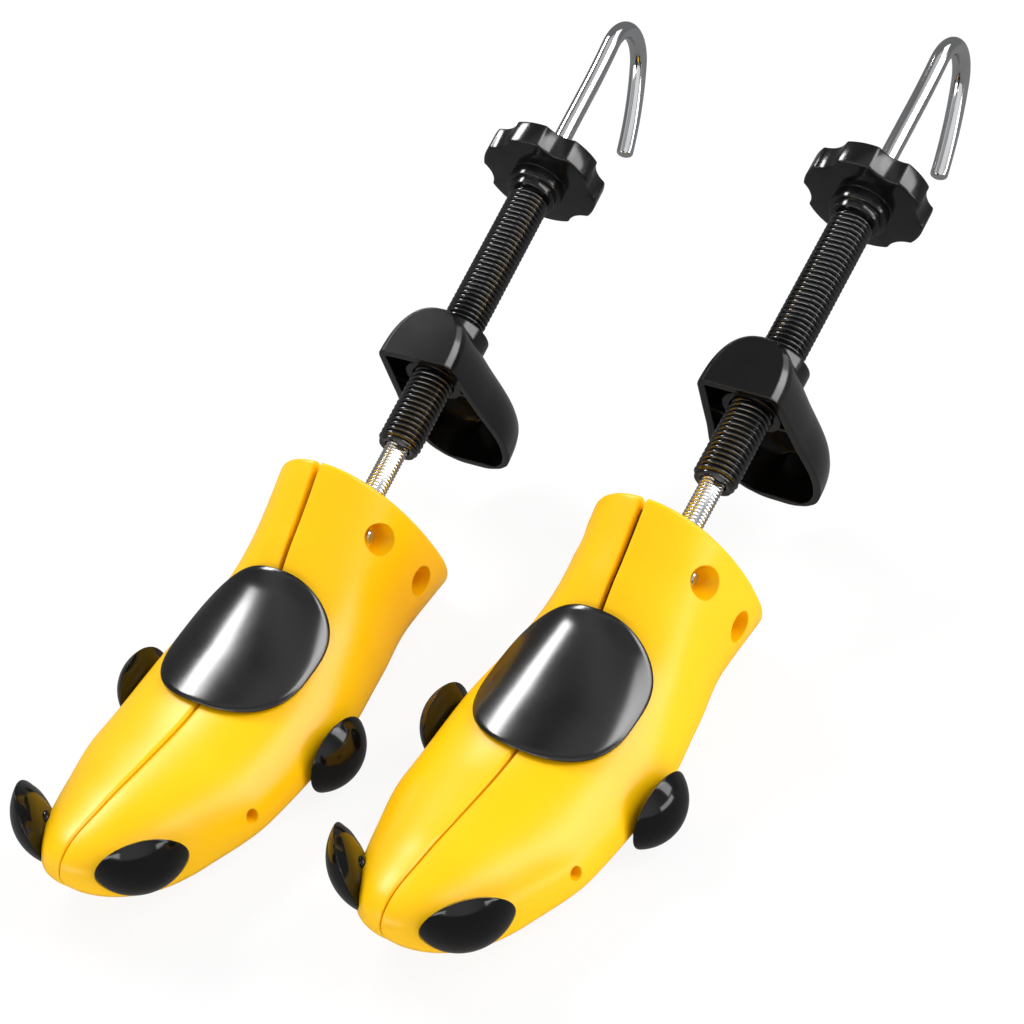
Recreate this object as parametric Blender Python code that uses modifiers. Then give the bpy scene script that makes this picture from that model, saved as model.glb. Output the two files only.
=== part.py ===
"""Pair of two-way shoe trees: split foreparts, a spreading screw in each, a length tube and a heel block.

World frame: +X to the right of the pair, +Y from the toes to the hooks, +Z up, the soles on z = 0.
Each tree is drawn in its own frame (toe tip at y = 0 on the seam) and then turned and set in place.
Pieces on the screw are drawn along a tilted frame: its y axis is the screw axis, rising to the hook.
"""
import math

import bmesh
import bpy
import numpy as np
from mathutils import Matrix, Vector
from mathutils.bvhtree import BVHTree

for old in list(bpy.data.objects):
    bpy.data.objects.remove(old, do_unlink=True)

# Driving sizes, in metres
TREE_SPACING = 0.0900
TREE_YAW_DEG = 2.2
TREE_STAGGER = 0.0133
SOLE_LENGTH = 0.1717
PAIR_CENTRE_Y = 0.18446
SCREW_TILT_DEG = 24.3
SCREW_FOOT_Z = 0.0466
FIT_GAP = 0.0003

# Forepart: stations along the sole, and half width and height of the section at each
STATION_SHARES = (0.0, 0.12, 0.3, 0.5, 0.7, 0.85, 1.0)
HALF_WIDTHS = (0.0219, 0.0244, 0.0330, 0.0347, 0.0306, 0.0271, 0.0279)
BOTTOM_HEIGHTS = (0.0055, 0.0038, 0.0010, 0.0, 0.0, 0.0, 0.0)
TOP_HEIGHTS = (0.0355, 0.0313, 0.0307, 0.0351, 0.0435, 0.0565, 0.0721)
GRID_SHARES = (0.0, 0.008, 0.03, 0.07, 0.12, 0.19, 0.28, 0.38, 0.49, 0.6, 0.7, 0.79, 0.87, 0.94, 1.0)
INNER_GRID_SHARES = (0.0, 0.03, 0.11, 0.25, 0.42, 0.6, 0.75, 0.88, 1.0)
MID_HEIGHT_SHARE = 0.38
UPPER_ROUNDNESS = 2.18
LOWER_ROUNDNESS = 1.95
NOSE_LENGTH = 0.0290
NOSE_HEIGHT = 0.0223
SOLE_UNDERCUT = 0.001
SHEAR_START_SHARE = 0.35
SHEAR_SPAN_SHARE = 0.5
SEAM_HALF_GAP_TOE = 0.0002
SEAM_HALF_GAP_REAR = 0.0012
WALL = 0.0026
ROOT_SHARE = 0.5
SEAM_OVERCUT = 0.004
SECTION_POINTS = 11
INNER_SECTION_POINTS = 7
REAR_EDGE_ROUND = 0.0014
REAR_EDGE_INSET = 0.0010

# Guide pins, their bosses and the counterbored pockets in the outer walls
GUIDE_PIN_Y = -0.0315
GUIDE_PIN_UPPER_OFFSET = 0.0175
GUIDE_PIN_LOWER_OFFSET = -0.0072
GUIDE_PIN_RADIUS = 0.0022
GUIDE_PIN_UPPER_REACH = 0.0185
GUIDE_PIN_LOWER_REACH = 0.0190
GUIDE_BOSS_RADIUS = 0.0078
GUIDE_BOSS_START = 0.0100
POCKET_RADIUS = 0.0053
POCKET_UPPER_FLOOR = 0.0160
POCKET_LOWER_FLOOR = 0.0200

# Fixed bracket with its square nut
BRACKET_HALF_WIDTH = 0.0092
BRACKET_FRONT = -0.0430
BRACKET_REAR = -0.0280
BRACKET_BOTTOM = -0.0115
BRACKET_TOP = 0.0212
NUT_HALF_SIDE = 0.0065
NUT_DEPTH = 0.0065
NUT_WALL = 0.0015

# Screw: M8 thread of coarse pitch, neck, plain shank and hook
ROD_RADIUS = 0.0040
ROD_PITCH = 0.00125
ROD_THREAD_DEPTH = 0.00055
ROD_THREAD_FRONT = -0.0440
ROD_SHOULDER = 0.0120
ROD_COLLAR_RADIUS = 0.0029
ROD_COLLAR_FRONT = -0.0510
ROD_FLAT_HEIGHT = 0.0032
ROD_FLAT_TURN_DEG = 45.0
ROD_NECK_RADIUS = 0.0025
ROD_NECK_LENGTH = 0.0175
ROD_SEGMENTS = 8
SHANK_RADIUS = 0.00325
HOOK_START = 0.1682
HOOK_ARCS = ((0.2350, -5.2, 3), (0.0147, 133.8, 10), (0.0800, 24.0, 4))
SHANK_SEGMENTS = 12
NUT_BORE_RADIUS = 0.0044

# Spreader plate, driven along the screw, with slanted slots for the follower pins
SPREAD_TRAVEL = 0.005
SLOT_SLOPE = 0.8
SLOT_END_STEPS = 12
FOLLOWER_X = 0.0100
FOLLOWER_Y = -0.0620
FOLLOWER_RADIUS = 0.0020
FOLLOWER_LENGTH = 0.0085
PLATE_TOP = -0.0056
PLATE_THICKNESS = 0.0030
PLATE_FRONT_MARGIN = 0.0050
PLATE_REAR_MARGIN = 0.0040
PLATE_SIDE_MARGIN = 0.0030
HUB_HALF_WIDTH = 0.0060
HUB_TOP = 0.0060
HUB_FRONT = -0.0660
HUB_REAR = -0.0513
COLUMN_RADIUS = 0.0045
CLIP_RADIUS = 0.0045
CLIP_THICKNESS = 0.0010

# Length tube with its outside thread, and the hand wheel on it
TUBE_FRONT = 0.0083
TUBE_RADIUS = 0.0075
TUBE_PITCH = 0.0019
TUBE_THREAD_DEPTH = 0.0010
TUBE_THREAD_LENGTH = 0.1085
TUBE_SEGMENTS = 8
TUBE_TAIL_RADIUS = 0.0062
TUBE_TAIL_LENGTH = 0.0130
TUBE_BORE_RADIUS = 0.0044
TUBE_TAIL_BORE_RADIUS = 0.0037
HUB_SEGMENTS = 24
COLLAR_RADIUS = 0.0088
COLLAR_LENGTH = 0.0028
HUB_RING_RADIUS = 0.0103
HUB_RING_LENGTH = 0.0046
WHEEL_RADIUS = 0.0218
WHEEL_THICKNESS = 0.0092
WHEEL_LOBES = 6
WHEEL_SCALLOP_RADIUS_SHARE = 0.4633
WHEEL_SCALLOP_CENTRE_SHARE = 1.3578
WHEEL_EDGE = 0.0007
WHEEL_ARC_POINTS = 5
WASHER_RADIUS = 0.0065
WASHER_THICKNESS = 0.0012

# Heel block: D-shaped cup, open to the toe, threaded on the tube
BLOCK_FRONT = 0.0338
BLOCK_DEPTH = 0.0215
BLOCK_DEPTH_SHARES = (0.0, 0.35, 0.68, 0.85, 0.955, 1.0)
BLOCK_PLAN_SHARES = (1.0, 0.95, 0.82, 0.64, 0.36, 0.0)
BLOCK_HEIGHTS = (-0.0508, -0.0493, -0.0462, -0.0407, -0.0335, -0.0080, 0.0142, 0.0175)
BLOCK_HALF_WIDTHS = (0.0040, 0.0092, 0.0139, 0.0176, 0.0194, 0.0172, 0.0147, 0.0134)
BLOCK_WALL = 0.0026
BLOCK_BOSS_RADIUS = 0.0103
BLOCK_REAR_BOSS_RADIUS = 0.0112
BLOCK_REAR_BOSS_LENGTH = 0.0018
BLOCK_BOSS_FRONT = 0.0027
BLOCK_RIB = 0.0016
BLOCK_RIB_DROP = 0.0098
BLOCK_RIB_DEPTH_SHARE = 0.7

# Instep pad, a shell over the seam with a tongue in the gap
PAD_REAR_SHARE = 0.6500
PAD_FRONT_SHARE = 0.3762
PAD_THICKNESS = 0.0028
PAD_GAP = 0.0006
STEEPEST_SHARE = 0.35
PAD_HALF_WIDTH = 0.0239
PAD_ROWS = 13
PAD_COLUMNS = 13
PAD_FRONT_CORNER_POWER = 2.4
PAD_REAR_CORNER_POWER = 3.2
PAD_END_SHARE = 0.02
PAD_EDGE_LIFT_SHARE = 0.35
TONGUE_FRONT_SHARE = 0.4543
TONGUE_REAR_SHARE = 0.5591
TONGUE_HALF_WIDTH = 0.0014
TONGUE_DEPTH = 0.0080

# Relief plugs: domed caps, hollow underneath, on a stem that presses into a socket
TOE_PLUG_RADIUS = 0.0131
TOE_PLUG_DOME = 0.0065
TOE_PLUG_PLACE = (0.0205, 0.0117, 0.0221)
TOE_PLUG_DIRECTION = (0.762, -0.613, -0.211)
BALL_PLUG_RADIUS = 0.0125
BALL_PLUG_DOME = 0.0072
BALL_PLUG_SHARE = 0.4650
BALL_PLUG_PLACE = (0.0380, SOLE_LENGTH * BALL_PLUG_SHARE, 0.0127)
BALL_PLUG_DIRECTION = (0.99, -0.08, -0.115)
SPARE_SOCKET_SHARE = 0.2650
SPARE_SOCKET_PLACE = (0.0322, SOLE_LENGTH * SPARE_SOCKET_SHARE, 0.0165)
SPARE_SOCKET_DIRECTION = (0.97, -0.24, 0.0)
PLUG_SHELL = 0.0016
PLUG_STEM_RADIUS = 0.0024
PLUG_STEM_LENGTH = 0.0100
PLUG_SEGMENTS = 16
PLUG_DOME_SHARES = (1.0, 0.9, 0.56, 0.0)
PLUG_RADIUS_SHARES = (0.0, 0.42, 0.8, 1.0)
SOCKET_RADIUS = 0.0050
SOCKET_LENGTH = 0.0110
SOCKET_BURIAL = 0.0012

COLOURS = {
    "yellow plastic": (0.98, 0.62, 0.0, 1.0),
    "black plastic": (0.012, 0.012, 0.013, 1.0),
    "black pad": (0.02, 0.02, 0.021, 1.0),
    "bright steel": (0.72, 0.72, 0.74, 1.0),
    "chrome": (0.85, 0.85, 0.86, 1.0),
    "zinc": (0.55, 0.56, 0.58, 1.0),
}
METALS = ("bright steel", "chrome", "zinc")

pieces = bpy.data.collections.new("shoe_tree_pair")
cutters = bpy.data.collections.new("cutters")
for made in (pieces, cutters):
    bpy.context.scene.collection.children.link(made)

tilt = math.radians(SCREW_TILT_DEG)
to_screw = Matrix.Translation((0, SOLE_LENGTH, SCREW_FOOT_Z)) @ Matrix.Rotation(tilt, 4, "X")
y_to_z = Matrix.Rotation(math.radians(-90), 4, "X")


def interpolate(share, values):
    """Fair line through the station values that never overshoots them."""
    knots = np.array(STATION_SHARES)
    heights = np.array(values)
    steps = np.diff(knots)
    slopes = np.diff(heights) / steps
    tangents = np.zeros(len(knots))
    tangents[0] = slopes[0]
    tangents[-1] = slopes[-1]
    for i in range(1, len(knots) - 1):
        if slopes[i - 1] * slopes[i] > 0:
            tangents[i] = 2 * slopes[i - 1] * slopes[i] / (slopes[i - 1] + slopes[i])
    place = min(max(int(np.searchsorted(knots, share) - 1), 0), len(steps) - 1)
    u = (share - knots[place]) / steps[place]
    blend_start = 2 * u**3 - 3 * u**2 + 1
    blend_end = -2 * u**3 + 3 * u**2
    pull_start = (u**3 - 2 * u**2 + u) * steps[place]
    pull_end = (u**3 - u**2) * steps[place]
    value = blend_start * heights[place] + blend_end * heights[place + 1]
    return value + pull_start * tangents[place] + pull_end * tangents[place + 1]


def shear_at(share):
    """Share of the screw tilt that the section has at a station: upright at the ball, full at the rear."""
    u = min(max((share - SHEAR_START_SHARE) / SHEAR_SPAN_SHARE, 0), 1)
    return u * u * (3 - 2 * u)


def seam_at(share):
    return SEAM_HALF_GAP_TOE + (SEAM_HALF_GAP_REAR - SEAM_HALF_GAP_TOE) * share


def section_point(share, angle, inset, seam):
    """Point of the forepart's skin at a station; angle runs from the sole seam (-90) to the top seam (90)."""
    y_flat = share * SOLE_LENGTH
    nose = 1.0
    if y_flat < NOSE_LENGTH:
        nose = math.sqrt(max(1 - (1 - y_flat / NOSE_LENGTH) ** 2, 0))
    width = interpolate(share, HALF_WIDTHS)
    top = interpolate(share, TOP_HEIGHTS)
    middle = top * MID_HEIGHT_SHARE
    bottom = interpolate(share, BOTTOM_HEIGHTS)
    cosine = max(math.cos(angle), 0)
    sine = math.sin(angle)
    if sine >= 0:
        out = cosine ** (2 / UPPER_ROUNDNESS)
        height = middle + (top - middle) * sine ** (2 / UPPER_ROUNDNESS)
    else:
        out = cosine ** (2 / LOWER_ROUNDNESS)
        height = middle - (middle + SOLE_UNDERCUT - bottom) * (-sine) ** (2 / LOWER_ROUNDNESS)
    height = max(height, bottom)
    x_full = (width - inset) * out * nose
    z_full = NOSE_HEIGHT + (height - NOSE_HEIGHT) * nose
    z_centre = NOSE_HEIGHT if y_flat < NOSE_LENGTH else middle
    reach = max(abs(z_full - z_centre), inset)
    z_inset = z_full - math.copysign(min(inset, reach), z_full - z_centre) * abs(sine) ** 0.5
    x = seam + max(x_full - max(seam, 0), 0)
    y = y_flat - math.tan(tilt) * shear_at(share) * z_inset
    return (x, y, z_inset)


def mesh_object(name, points, faces, collection):
    data = bpy.data.meshes.new(name)
    data.from_pydata(points, [], faces)
    data.validate()
    made = bpy.data.objects.new(name, data)
    collection.objects.link(made)
    work = bmesh.new()
    work.from_mesh(data)
    bmesh.ops.remove_doubles(work, verts=work.verts, dist=1e-6)
    bmesh.ops.recalc_face_normals(work, faces=work.faces)
    work.to_mesh(data)
    work.free()
    return made


def grid_solid(name, rows, collection):
    """Closed solid from rows of points, each row a closed ring; the end rings are capped."""
    count = len(rows[0])
    points = [point for row in rows for point in row]
    faces = []
    for r in range(len(rows) - 1):
        for c in range(count):
            d = (c + 1) % count
            faces.append((r * count + c, r * count + d, (r + 1) * count + d, (r + 1) * count + c))
    faces.append(tuple(range(count)))
    faces.append(tuple(range((len(rows) - 1) * count, len(rows) * count)))
    return mesh_object(name, points, faces, collection)


def half_body(name, side, inset, shares, count, seam_cut):
    """One side of the forepart as a solid; side is -1 or 1 and seam_cut moves its flat face past the seam."""
    rows = []
    first = inset / SOLE_LENGTH
    for share in shares:
        along = first + share * (1 - 2 * first)
        seam = -seam_cut if seam_cut else seam_at(along)
        round_off = 0
        if not inset and share == shares[-1]:
            round_off = REAR_EDGE_INSET
        row = []
        for k in range(count):
            angle = -math.pi / 2 + math.pi * k / (count - 1)
            x, y, z = section_point(along, angle, inset + round_off, seam)
            row.append((side * x, y, z))
        rows.append(row)
        if not inset and share == shares[-1]:
            before = []
            back = REAR_EDGE_ROUND / SOLE_LENGTH
            for k in range(count):
                angle = -math.pi / 2 + math.pi * k / (count - 1)
                x, y, z = section_point(along - back, angle, 0, seam)
                before.append((side * x, y, z))
            rows.insert(len(rows) - 1, before)
    return grid_solid(name, rows, cutters)


def cylinder(name, radius, start, end, segments=24):
    """Round bar from start to end."""
    a = Vector(start)
    b = Vector(end)
    work = bmesh.new()
    bmesh.ops.create_cone(
        work, cap_ends=True, segments=segments, radius1=radius, radius2=radius, depth=(b - a).length
    )
    data = bpy.data.meshes.new(name)
    turn = Vector((0, 0, 1)).rotation_difference(b - a).to_matrix().to_4x4()
    bmesh.ops.transform(work, matrix=Matrix.Translation((a + b) / 2) @ turn, verts=work.verts)
    work.to_mesh(data)
    work.free()
    made = bpy.data.objects.new(name, data)
    cutters.objects.link(made)
    return made


def box(name, low, high):
    work = bmesh.new()
    bmesh.ops.create_cube(work, size=1)
    size = [h - l for l, h in zip(low, high)]
    middle = [(h + l) / 2 for l, h in zip(low, high)]
    bmesh.ops.transform(
        work, matrix=Matrix.Translation(middle) @ Matrix.Diagonal((*size, 1)), verts=work.verts
    )
    data = bpy.data.meshes.new(name)
    work.to_mesh(data)
    work.free()
    made = bpy.data.objects.new(name, data)
    cutters.objects.link(made)
    return made


def move(thing, matrix):
    thing.data.transform(matrix)
    return thing


def combine(base, other, operation):
    """Boolean of two solids, kept on the first."""
    modifier = base.modifiers.new(operation.lower(), "BOOLEAN")
    modifier.operation = operation
    modifier.solver = "EXACT"
    modifier.object = other
    graph = bpy.context.evaluated_depsgraph_get()
    data = bpy.data.meshes.new_from_object(base.evaluated_get(graph))
    base.modifiers.clear()
    old = base.data
    base.data = data
    bpy.data.meshes.remove(old)
    return base


def cut(base, other):
    return combine(base, other, "DIFFERENCE")


def join(base, other):
    return combine(base, other, "UNION")


def keep_common(base, other):
    return combine(base, other, "INTERSECT")


def turned(name, profile, segments):
    """Solid of revolution about Y from an outline of (radius, y) points that starts and ends on the axis."""
    data = bpy.data.meshes.new(name)
    points = [(radius, 0, along) for radius, along in profile]
    edges = [(i, i + 1) for i in range(len(points) - 1)]
    data.from_pydata(points, edges, [])
    made = bpy.data.objects.new(name, data)
    cutters.objects.link(made)
    screw = made.modifiers.new("turn", "SCREW")
    screw.axis = "Z"
    screw.steps = segments
    screw.render_steps = segments
    screw.use_merge_vertices = True
    screw.merge_threshold = 0.00001
    screw.use_normal_calculate = True
    graph = bpy.context.evaluated_depsgraph_get()
    solid = bpy.data.meshes.new_from_object(made.evaluated_get(graph))
    made.modifiers.clear()
    made.data = solid
    bpy.data.meshes.remove(data)
    work = bmesh.new()
    work.from_mesh(solid)
    bmesh.ops.remove_doubles(work, verts=work.verts, dist=1e-6)
    bmesh.ops.recalc_face_normals(work, faces=work.faces)
    work.to_mesh(solid)
    work.free()
    return move(made, y_to_z)


def threaded_bar(name, crest, depth, pitch, length, segments, front):
    """Helical ridge by columns: in each column crest and root points alternate, raised one pitch per turn.

    The columns start and end at root radius, so the thread runs out at both ends.
    """
    turns = int(length / pitch)
    root = crest - depth
    span = 2 * turns
    columns = []
    for j in range(segments):
        lift = pitch * j / segments
        column = [(root, 0)]
        for i in range(span - 1):
            along = lift + pitch * (i + 0.5) / 2
            fade = min(along / pitch, (length - along) / pitch, 1)
            radius = root + depth * max(fade, 0) if i % 2 == 0 else root
            column.append((radius, along))
        column.append((root, length))
        columns.append(column)
    points = []
    for j, column in enumerate(columns):
        turn = 2 * math.pi * j / segments
        for radius, along in column:
            points.append((radius * math.cos(turn), front + along, -radius * math.sin(turn)))
    count = len(columns[0])
    faces = []
    for j in range(segments - 1):
        for i in range(count - 1):
            a = j * count + i
            b = (j + 1) * count + i
            faces.append((a, a + 1, b + 1, b))
    last = (segments - 1) * count
    for i in range(1, count - 4):
        faces.append((last + i, last + i + 1, i + 3, i + 2))
    tail = count - 1
    for a, b in ((last + 1, 3), (3, 2), (2, 1), (1, 0)):
        faces.append((last, a, b))
    for back in (3, 2, 1):
        faces.append((last + tail - back, last + tail - back + 1, tail - 1))
    faces.append((last + tail, tail, tail - 1))
    faces.append(tuple(j * count for j in range(segments)))
    faces.append(tuple(j * count + tail for j in range(segments)))
    return mesh_object(name, points, faces, cutters)


def swept_bar(name, path, radius, segments):
    """Round wire along a path in one plane."""
    curve = bpy.data.curves.new(name, "CURVE")
    curve.dimensions = "3D"
    curve.bevel_depth = radius
    curve.bevel_resolution = segments // 4 - 1
    curve.use_fill_caps = True
    spline = curve.splines.new("POLY")
    spline.points.add(len(path) - 1)
    for point, place in zip(spline.points, path):
        point.co = (*place, 1)
    line = bpy.data.objects.new(name + "_line", curve)
    cutters.objects.link(line)
    graph = bpy.context.evaluated_depsgraph_get()
    data = bpy.data.meshes.new_from_object(line.evaluated_get(graph))
    work = bmesh.new()
    work.from_mesh(data)
    bmesh.ops.remove_doubles(work, verts=work.verts, dist=1e-6)
    bmesh.ops.recalc_face_normals(work, faces=work.faces)
    work.to_mesh(data)
    work.free()
    made = bpy.data.objects.new(name, data)
    cutters.objects.link(made)
    bpy.data.objects.remove(line, do_unlink=True)
    return made


def material(kind):
    found = bpy.data.materials.get(kind)
    if found:
        return found
    made = bpy.data.materials.new(kind)
    made.use_nodes = True
    shader = made.node_tree.nodes["Principled BSDF"]
    shader.inputs["Base Color"].default_value = COLOURS[kind]
    shader.inputs["Metallic"].default_value = 1 if kind in METALS else 0
    shader.inputs["Roughness"].default_value = 0.25
    return made


def finish(thing, name, kind, place, origin):
    """Set a drawn piece in the world, with its origin on its joint axis."""
    thing.data.transform(place)
    spot = place @ Vector(origin)
    thing.data.transform(Matrix.Translation(-spot))
    thing.location = spot
    thing.name = name
    thing.data.name = name
    own = material(kind).copy()
    own.name = name + " " + kind
    thing.data.materials.clear()
    thing.data.materials.append(own)
    for owner in list(thing.users_collection):
        owner.objects.unlink(thing)
    pieces.objects.link(thing)


def along_stem(place, direction, side):
    centre = Vector((side * place[0], place[1], place[2]))
    way = Vector((side * direction[0], direction[1], direction[2])).normalized()
    return centre, way


def forepart_half(side):
    """Hollow half shell with pin bosses, plug sockets, a follower column and the openings in its walls."""
    outer = half_body("outer", side, 0, GRID_SHARES, SECTION_POINTS, 0)
    inner = half_body("inner", side, WALL, INNER_GRID_SHARES, INNER_SECTION_POINTS, SEAM_OVERCUT)
    far = WHEEL_RADIUS * 2
    inside = None
    for height in (GUIDE_PIN_UPPER_OFFSET, GUIDE_PIN_LOWER_OFFSET):
        start = to_screw @ Vector((side * GUIDE_BOSS_START, GUIDE_PIN_Y, height))
        end = to_screw @ Vector((side * far, GUIDE_PIN_Y, height))
        boss = cylinder("boss", GUIDE_BOSS_RADIUS, start, end, 12)
        inside = boss if inside is None else join(inside, boss)
    for place, direction in (
        (TOE_PLUG_PLACE, TOE_PLUG_DIRECTION),
        (BALL_PLUG_PLACE, BALL_PLUG_DIRECTION),
        (SPARE_SOCKET_PLACE, SPARE_SOCKET_DIRECTION),
    ):
        centre, way = along_stem(place, direction, side)
        foot = centre - way * (SOCKET_LENGTH + SOCKET_BURIAL)
        inside = join(inside, cylinder("socket", SOCKET_RADIUS, foot, centre, 8))
    column_top = PLATE_TOP - PLATE_THICKNESS - FIT_GAP * 2
    start = to_screw @ Vector((side * FOLLOWER_X, FOLLOWER_Y, column_top))
    end = to_screw @ Vector((side * FOLLOWER_X, FOLLOWER_Y, -SCREW_FOOT_Z))
    inside = join(inside, cylinder("column", COLUMN_RADIUS, start, end, 8))
    half_depth = half_body("half_depth", side, WALL * ROOT_SHARE, INNER_GRID_SHARES, SECTION_POINTS, 0)
    inside = keep_common(inside, half_depth)
    shell = cut(outer, inner)
    shell = join(shell, inside)
    pockets = ((GUIDE_PIN_UPPER_OFFSET, POCKET_UPPER_FLOOR), (GUIDE_PIN_LOWER_OFFSET, POCKET_LOWER_FLOOR))
    for height, floor in pockets:
        start = to_screw @ Vector((side * floor, GUIDE_PIN_Y, height))
        end = to_screw @ Vector((side * far, GUIDE_PIN_Y, height))
        shell = cut(shell, cylinder("pocket", POCKET_RADIUS, start, end, 16))
        start = to_screw @ Vector((0, GUIDE_PIN_Y, height))
        shell = cut(shell, cylinder("bore", GUIDE_PIN_RADIUS + FIT_GAP, start, end, 10))
    for place, direction in (
        (TOE_PLUG_PLACE, TOE_PLUG_DIRECTION),
        (BALL_PLUG_PLACE, BALL_PLUG_DIRECTION),
        (SPARE_SOCKET_PLACE, SPARE_SOCKET_DIRECTION),
    ):
        centre, way = along_stem(place, direction, side)
        reach = way * SOCKET_LENGTH
        shell = cut(shell, cylinder("bore", PLUG_STEM_RADIUS + FIT_GAP, centre - reach, centre + reach, 8))
    start = to_screw @ Vector((side * FOLLOWER_X, FOLLOWER_Y, column_top - FOLLOWER_LENGTH / 2))
    end = to_screw @ Vector((side * FOLLOWER_X, FOLLOWER_Y, 0))
    shell = cut(shell, cylinder("seat", FOLLOWER_RADIUS + FIT_GAP, start, end, 8))
    start = to_screw @ Vector((0, ROD_THREAD_FRONT, 0))
    end = to_screw @ Vector((0, TUBE_FRONT, 0))
    shell = cut(shell, cylinder("rod_way", ROD_RADIUS + FIT_GAP * 2, start, end, 14))
    notch_front = SOLE_LENGTH * TONGUE_FRONT_SHARE - FIT_GAP * 2
    notch_rear = SOLE_LENGTH * TONGUE_REAR_SHARE + FIT_GAP * 2
    notch_low = (-TONGUE_HALF_WIDTH - FIT_GAP * 2, notch_front, SCREW_FOOT_Z / 2)
    notch_high = (TONGUE_HALF_WIDTH + FIT_GAP * 2, notch_rear, SCREW_FOOT_Z)
    return cut(shell, box("notch", notch_low, notch_high))


def forepart_skin():
    """Function of a point of the sole plane: the skin height over it, and how level the skin is there."""
    skins = []
    for side in (-1, 1):
        body = half_body("skin", side, 0, GRID_SHARES, SECTION_POINTS, 0)
        work = bmesh.new()
        work.from_mesh(body.data)
        skins.append(BVHTree.FromBMesh(work))
        work.free()

    def height(x, y):
        side = 1 if x > 0 else -1
        over = side * max(abs(x), SEAM_HALF_GAP_REAR * 2)
        hit = skins[(side + 1) // 2].ray_cast(Vector((over, y, SOLE_LENGTH)), Vector((0, 0, -1)))
        return hit[0][2], max(abs(hit[1][2]), STEEPEST_SHARE)

    return height


def instep_pad():
    """Saddle shell that follows the instep skin a fit gap above it, thicker on its crown than at its rim."""
    skin_height = forepart_skin()
    top_rows = []
    under_rows = []
    middle = SOLE_LENGTH * (PAD_REAR_SHARE + PAD_FRONT_SHARE) / 2
    half_length = SOLE_LENGTH * (PAD_REAR_SHARE - PAD_FRONT_SHARE) / 2
    for r in range(PAD_ROWS):
        v = -math.cos(math.pi * r / (PAD_ROWS - 1))
        power = PAD_REAR_CORNER_POWER if v > 0 else PAD_FRONT_CORNER_POWER
        squeeze = (1 - abs(v) ** power) ** (1 / power)
        top_row = []
        under_row = []
        for c in range(PAD_COLUMNS):
            u = -1 + 2 * c / (PAD_COLUMNS - 1)
            x = u * PAD_HALF_WIDTH * max(squeeze, PAD_END_SHARE)
            y = middle + v * half_length
            skin, level = skin_height(x, y)
            edge = (1 - abs(u) ** 4) * (1 - abs(v) ** 4)
            lift = PAD_THICKNESS * (PAD_EDGE_LIFT_SHARE + (1 - PAD_EDGE_LIFT_SHARE) * edge**0.5)
            under = skin + PAD_GAP / level
            under_row.append((x, y, under))
            top_row.append((x, y, under + lift / level**0.5))
        top_rows.append(top_row)
        under_rows.append(under_row)
    rows = [top + under[::-1] for top, under in zip(top_rows, under_rows)]
    pad = grid_solid("pad", rows, cutters)
    tongue_rows = []
    for y in (SOLE_LENGTH * TONGUE_FRONT_SHARE, SOLE_LENGTH * TONGUE_REAR_SHARE):
        skin, level = skin_height(0, y)
        bottom = skin - TONGUE_DEPTH
        top = skin + PAD_GAP + PAD_THICKNESS / 2
        left = -TONGUE_HALF_WIDTH
        right = TONGUE_HALF_WIDTH
        tongue_rows.append([(left, y, bottom), (right, y, bottom), (right, y, top), (left, y, top)])
    return join(pad, grid_solid("tongue", tongue_rows, cutters))


def plug(radius, dome):
    """Domed cap, hollow underneath, with a stem; turned about Y with the rim plane at y = 0."""
    outer = [(radius * r, dome * h) for r, h in zip(PLUG_RADIUS_SHARES, PLUG_DOME_SHARES)]
    inner_radius = radius - PLUG_SHELL
    inner_dome = dome - PLUG_SHELL
    inner = []
    for r, h in zip(PLUG_RADIUS_SHARES[::-1], PLUG_DOME_SHARES[::-1]):
        if inner_radius * r > PLUG_STEM_RADIUS:
            inner.append((inner_radius * r, inner_dome * h))
    stem_top = inner_dome * PLUG_DOME_SHARES[1]
    stem = [(PLUG_STEM_RADIUS, stem_top), (PLUG_STEM_RADIUS, -PLUG_STEM_LENGTH), (0, -PLUG_STEM_LENGTH)]
    return turned("plug", outer + inner + stem, PLUG_SEGMENTS)


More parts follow.
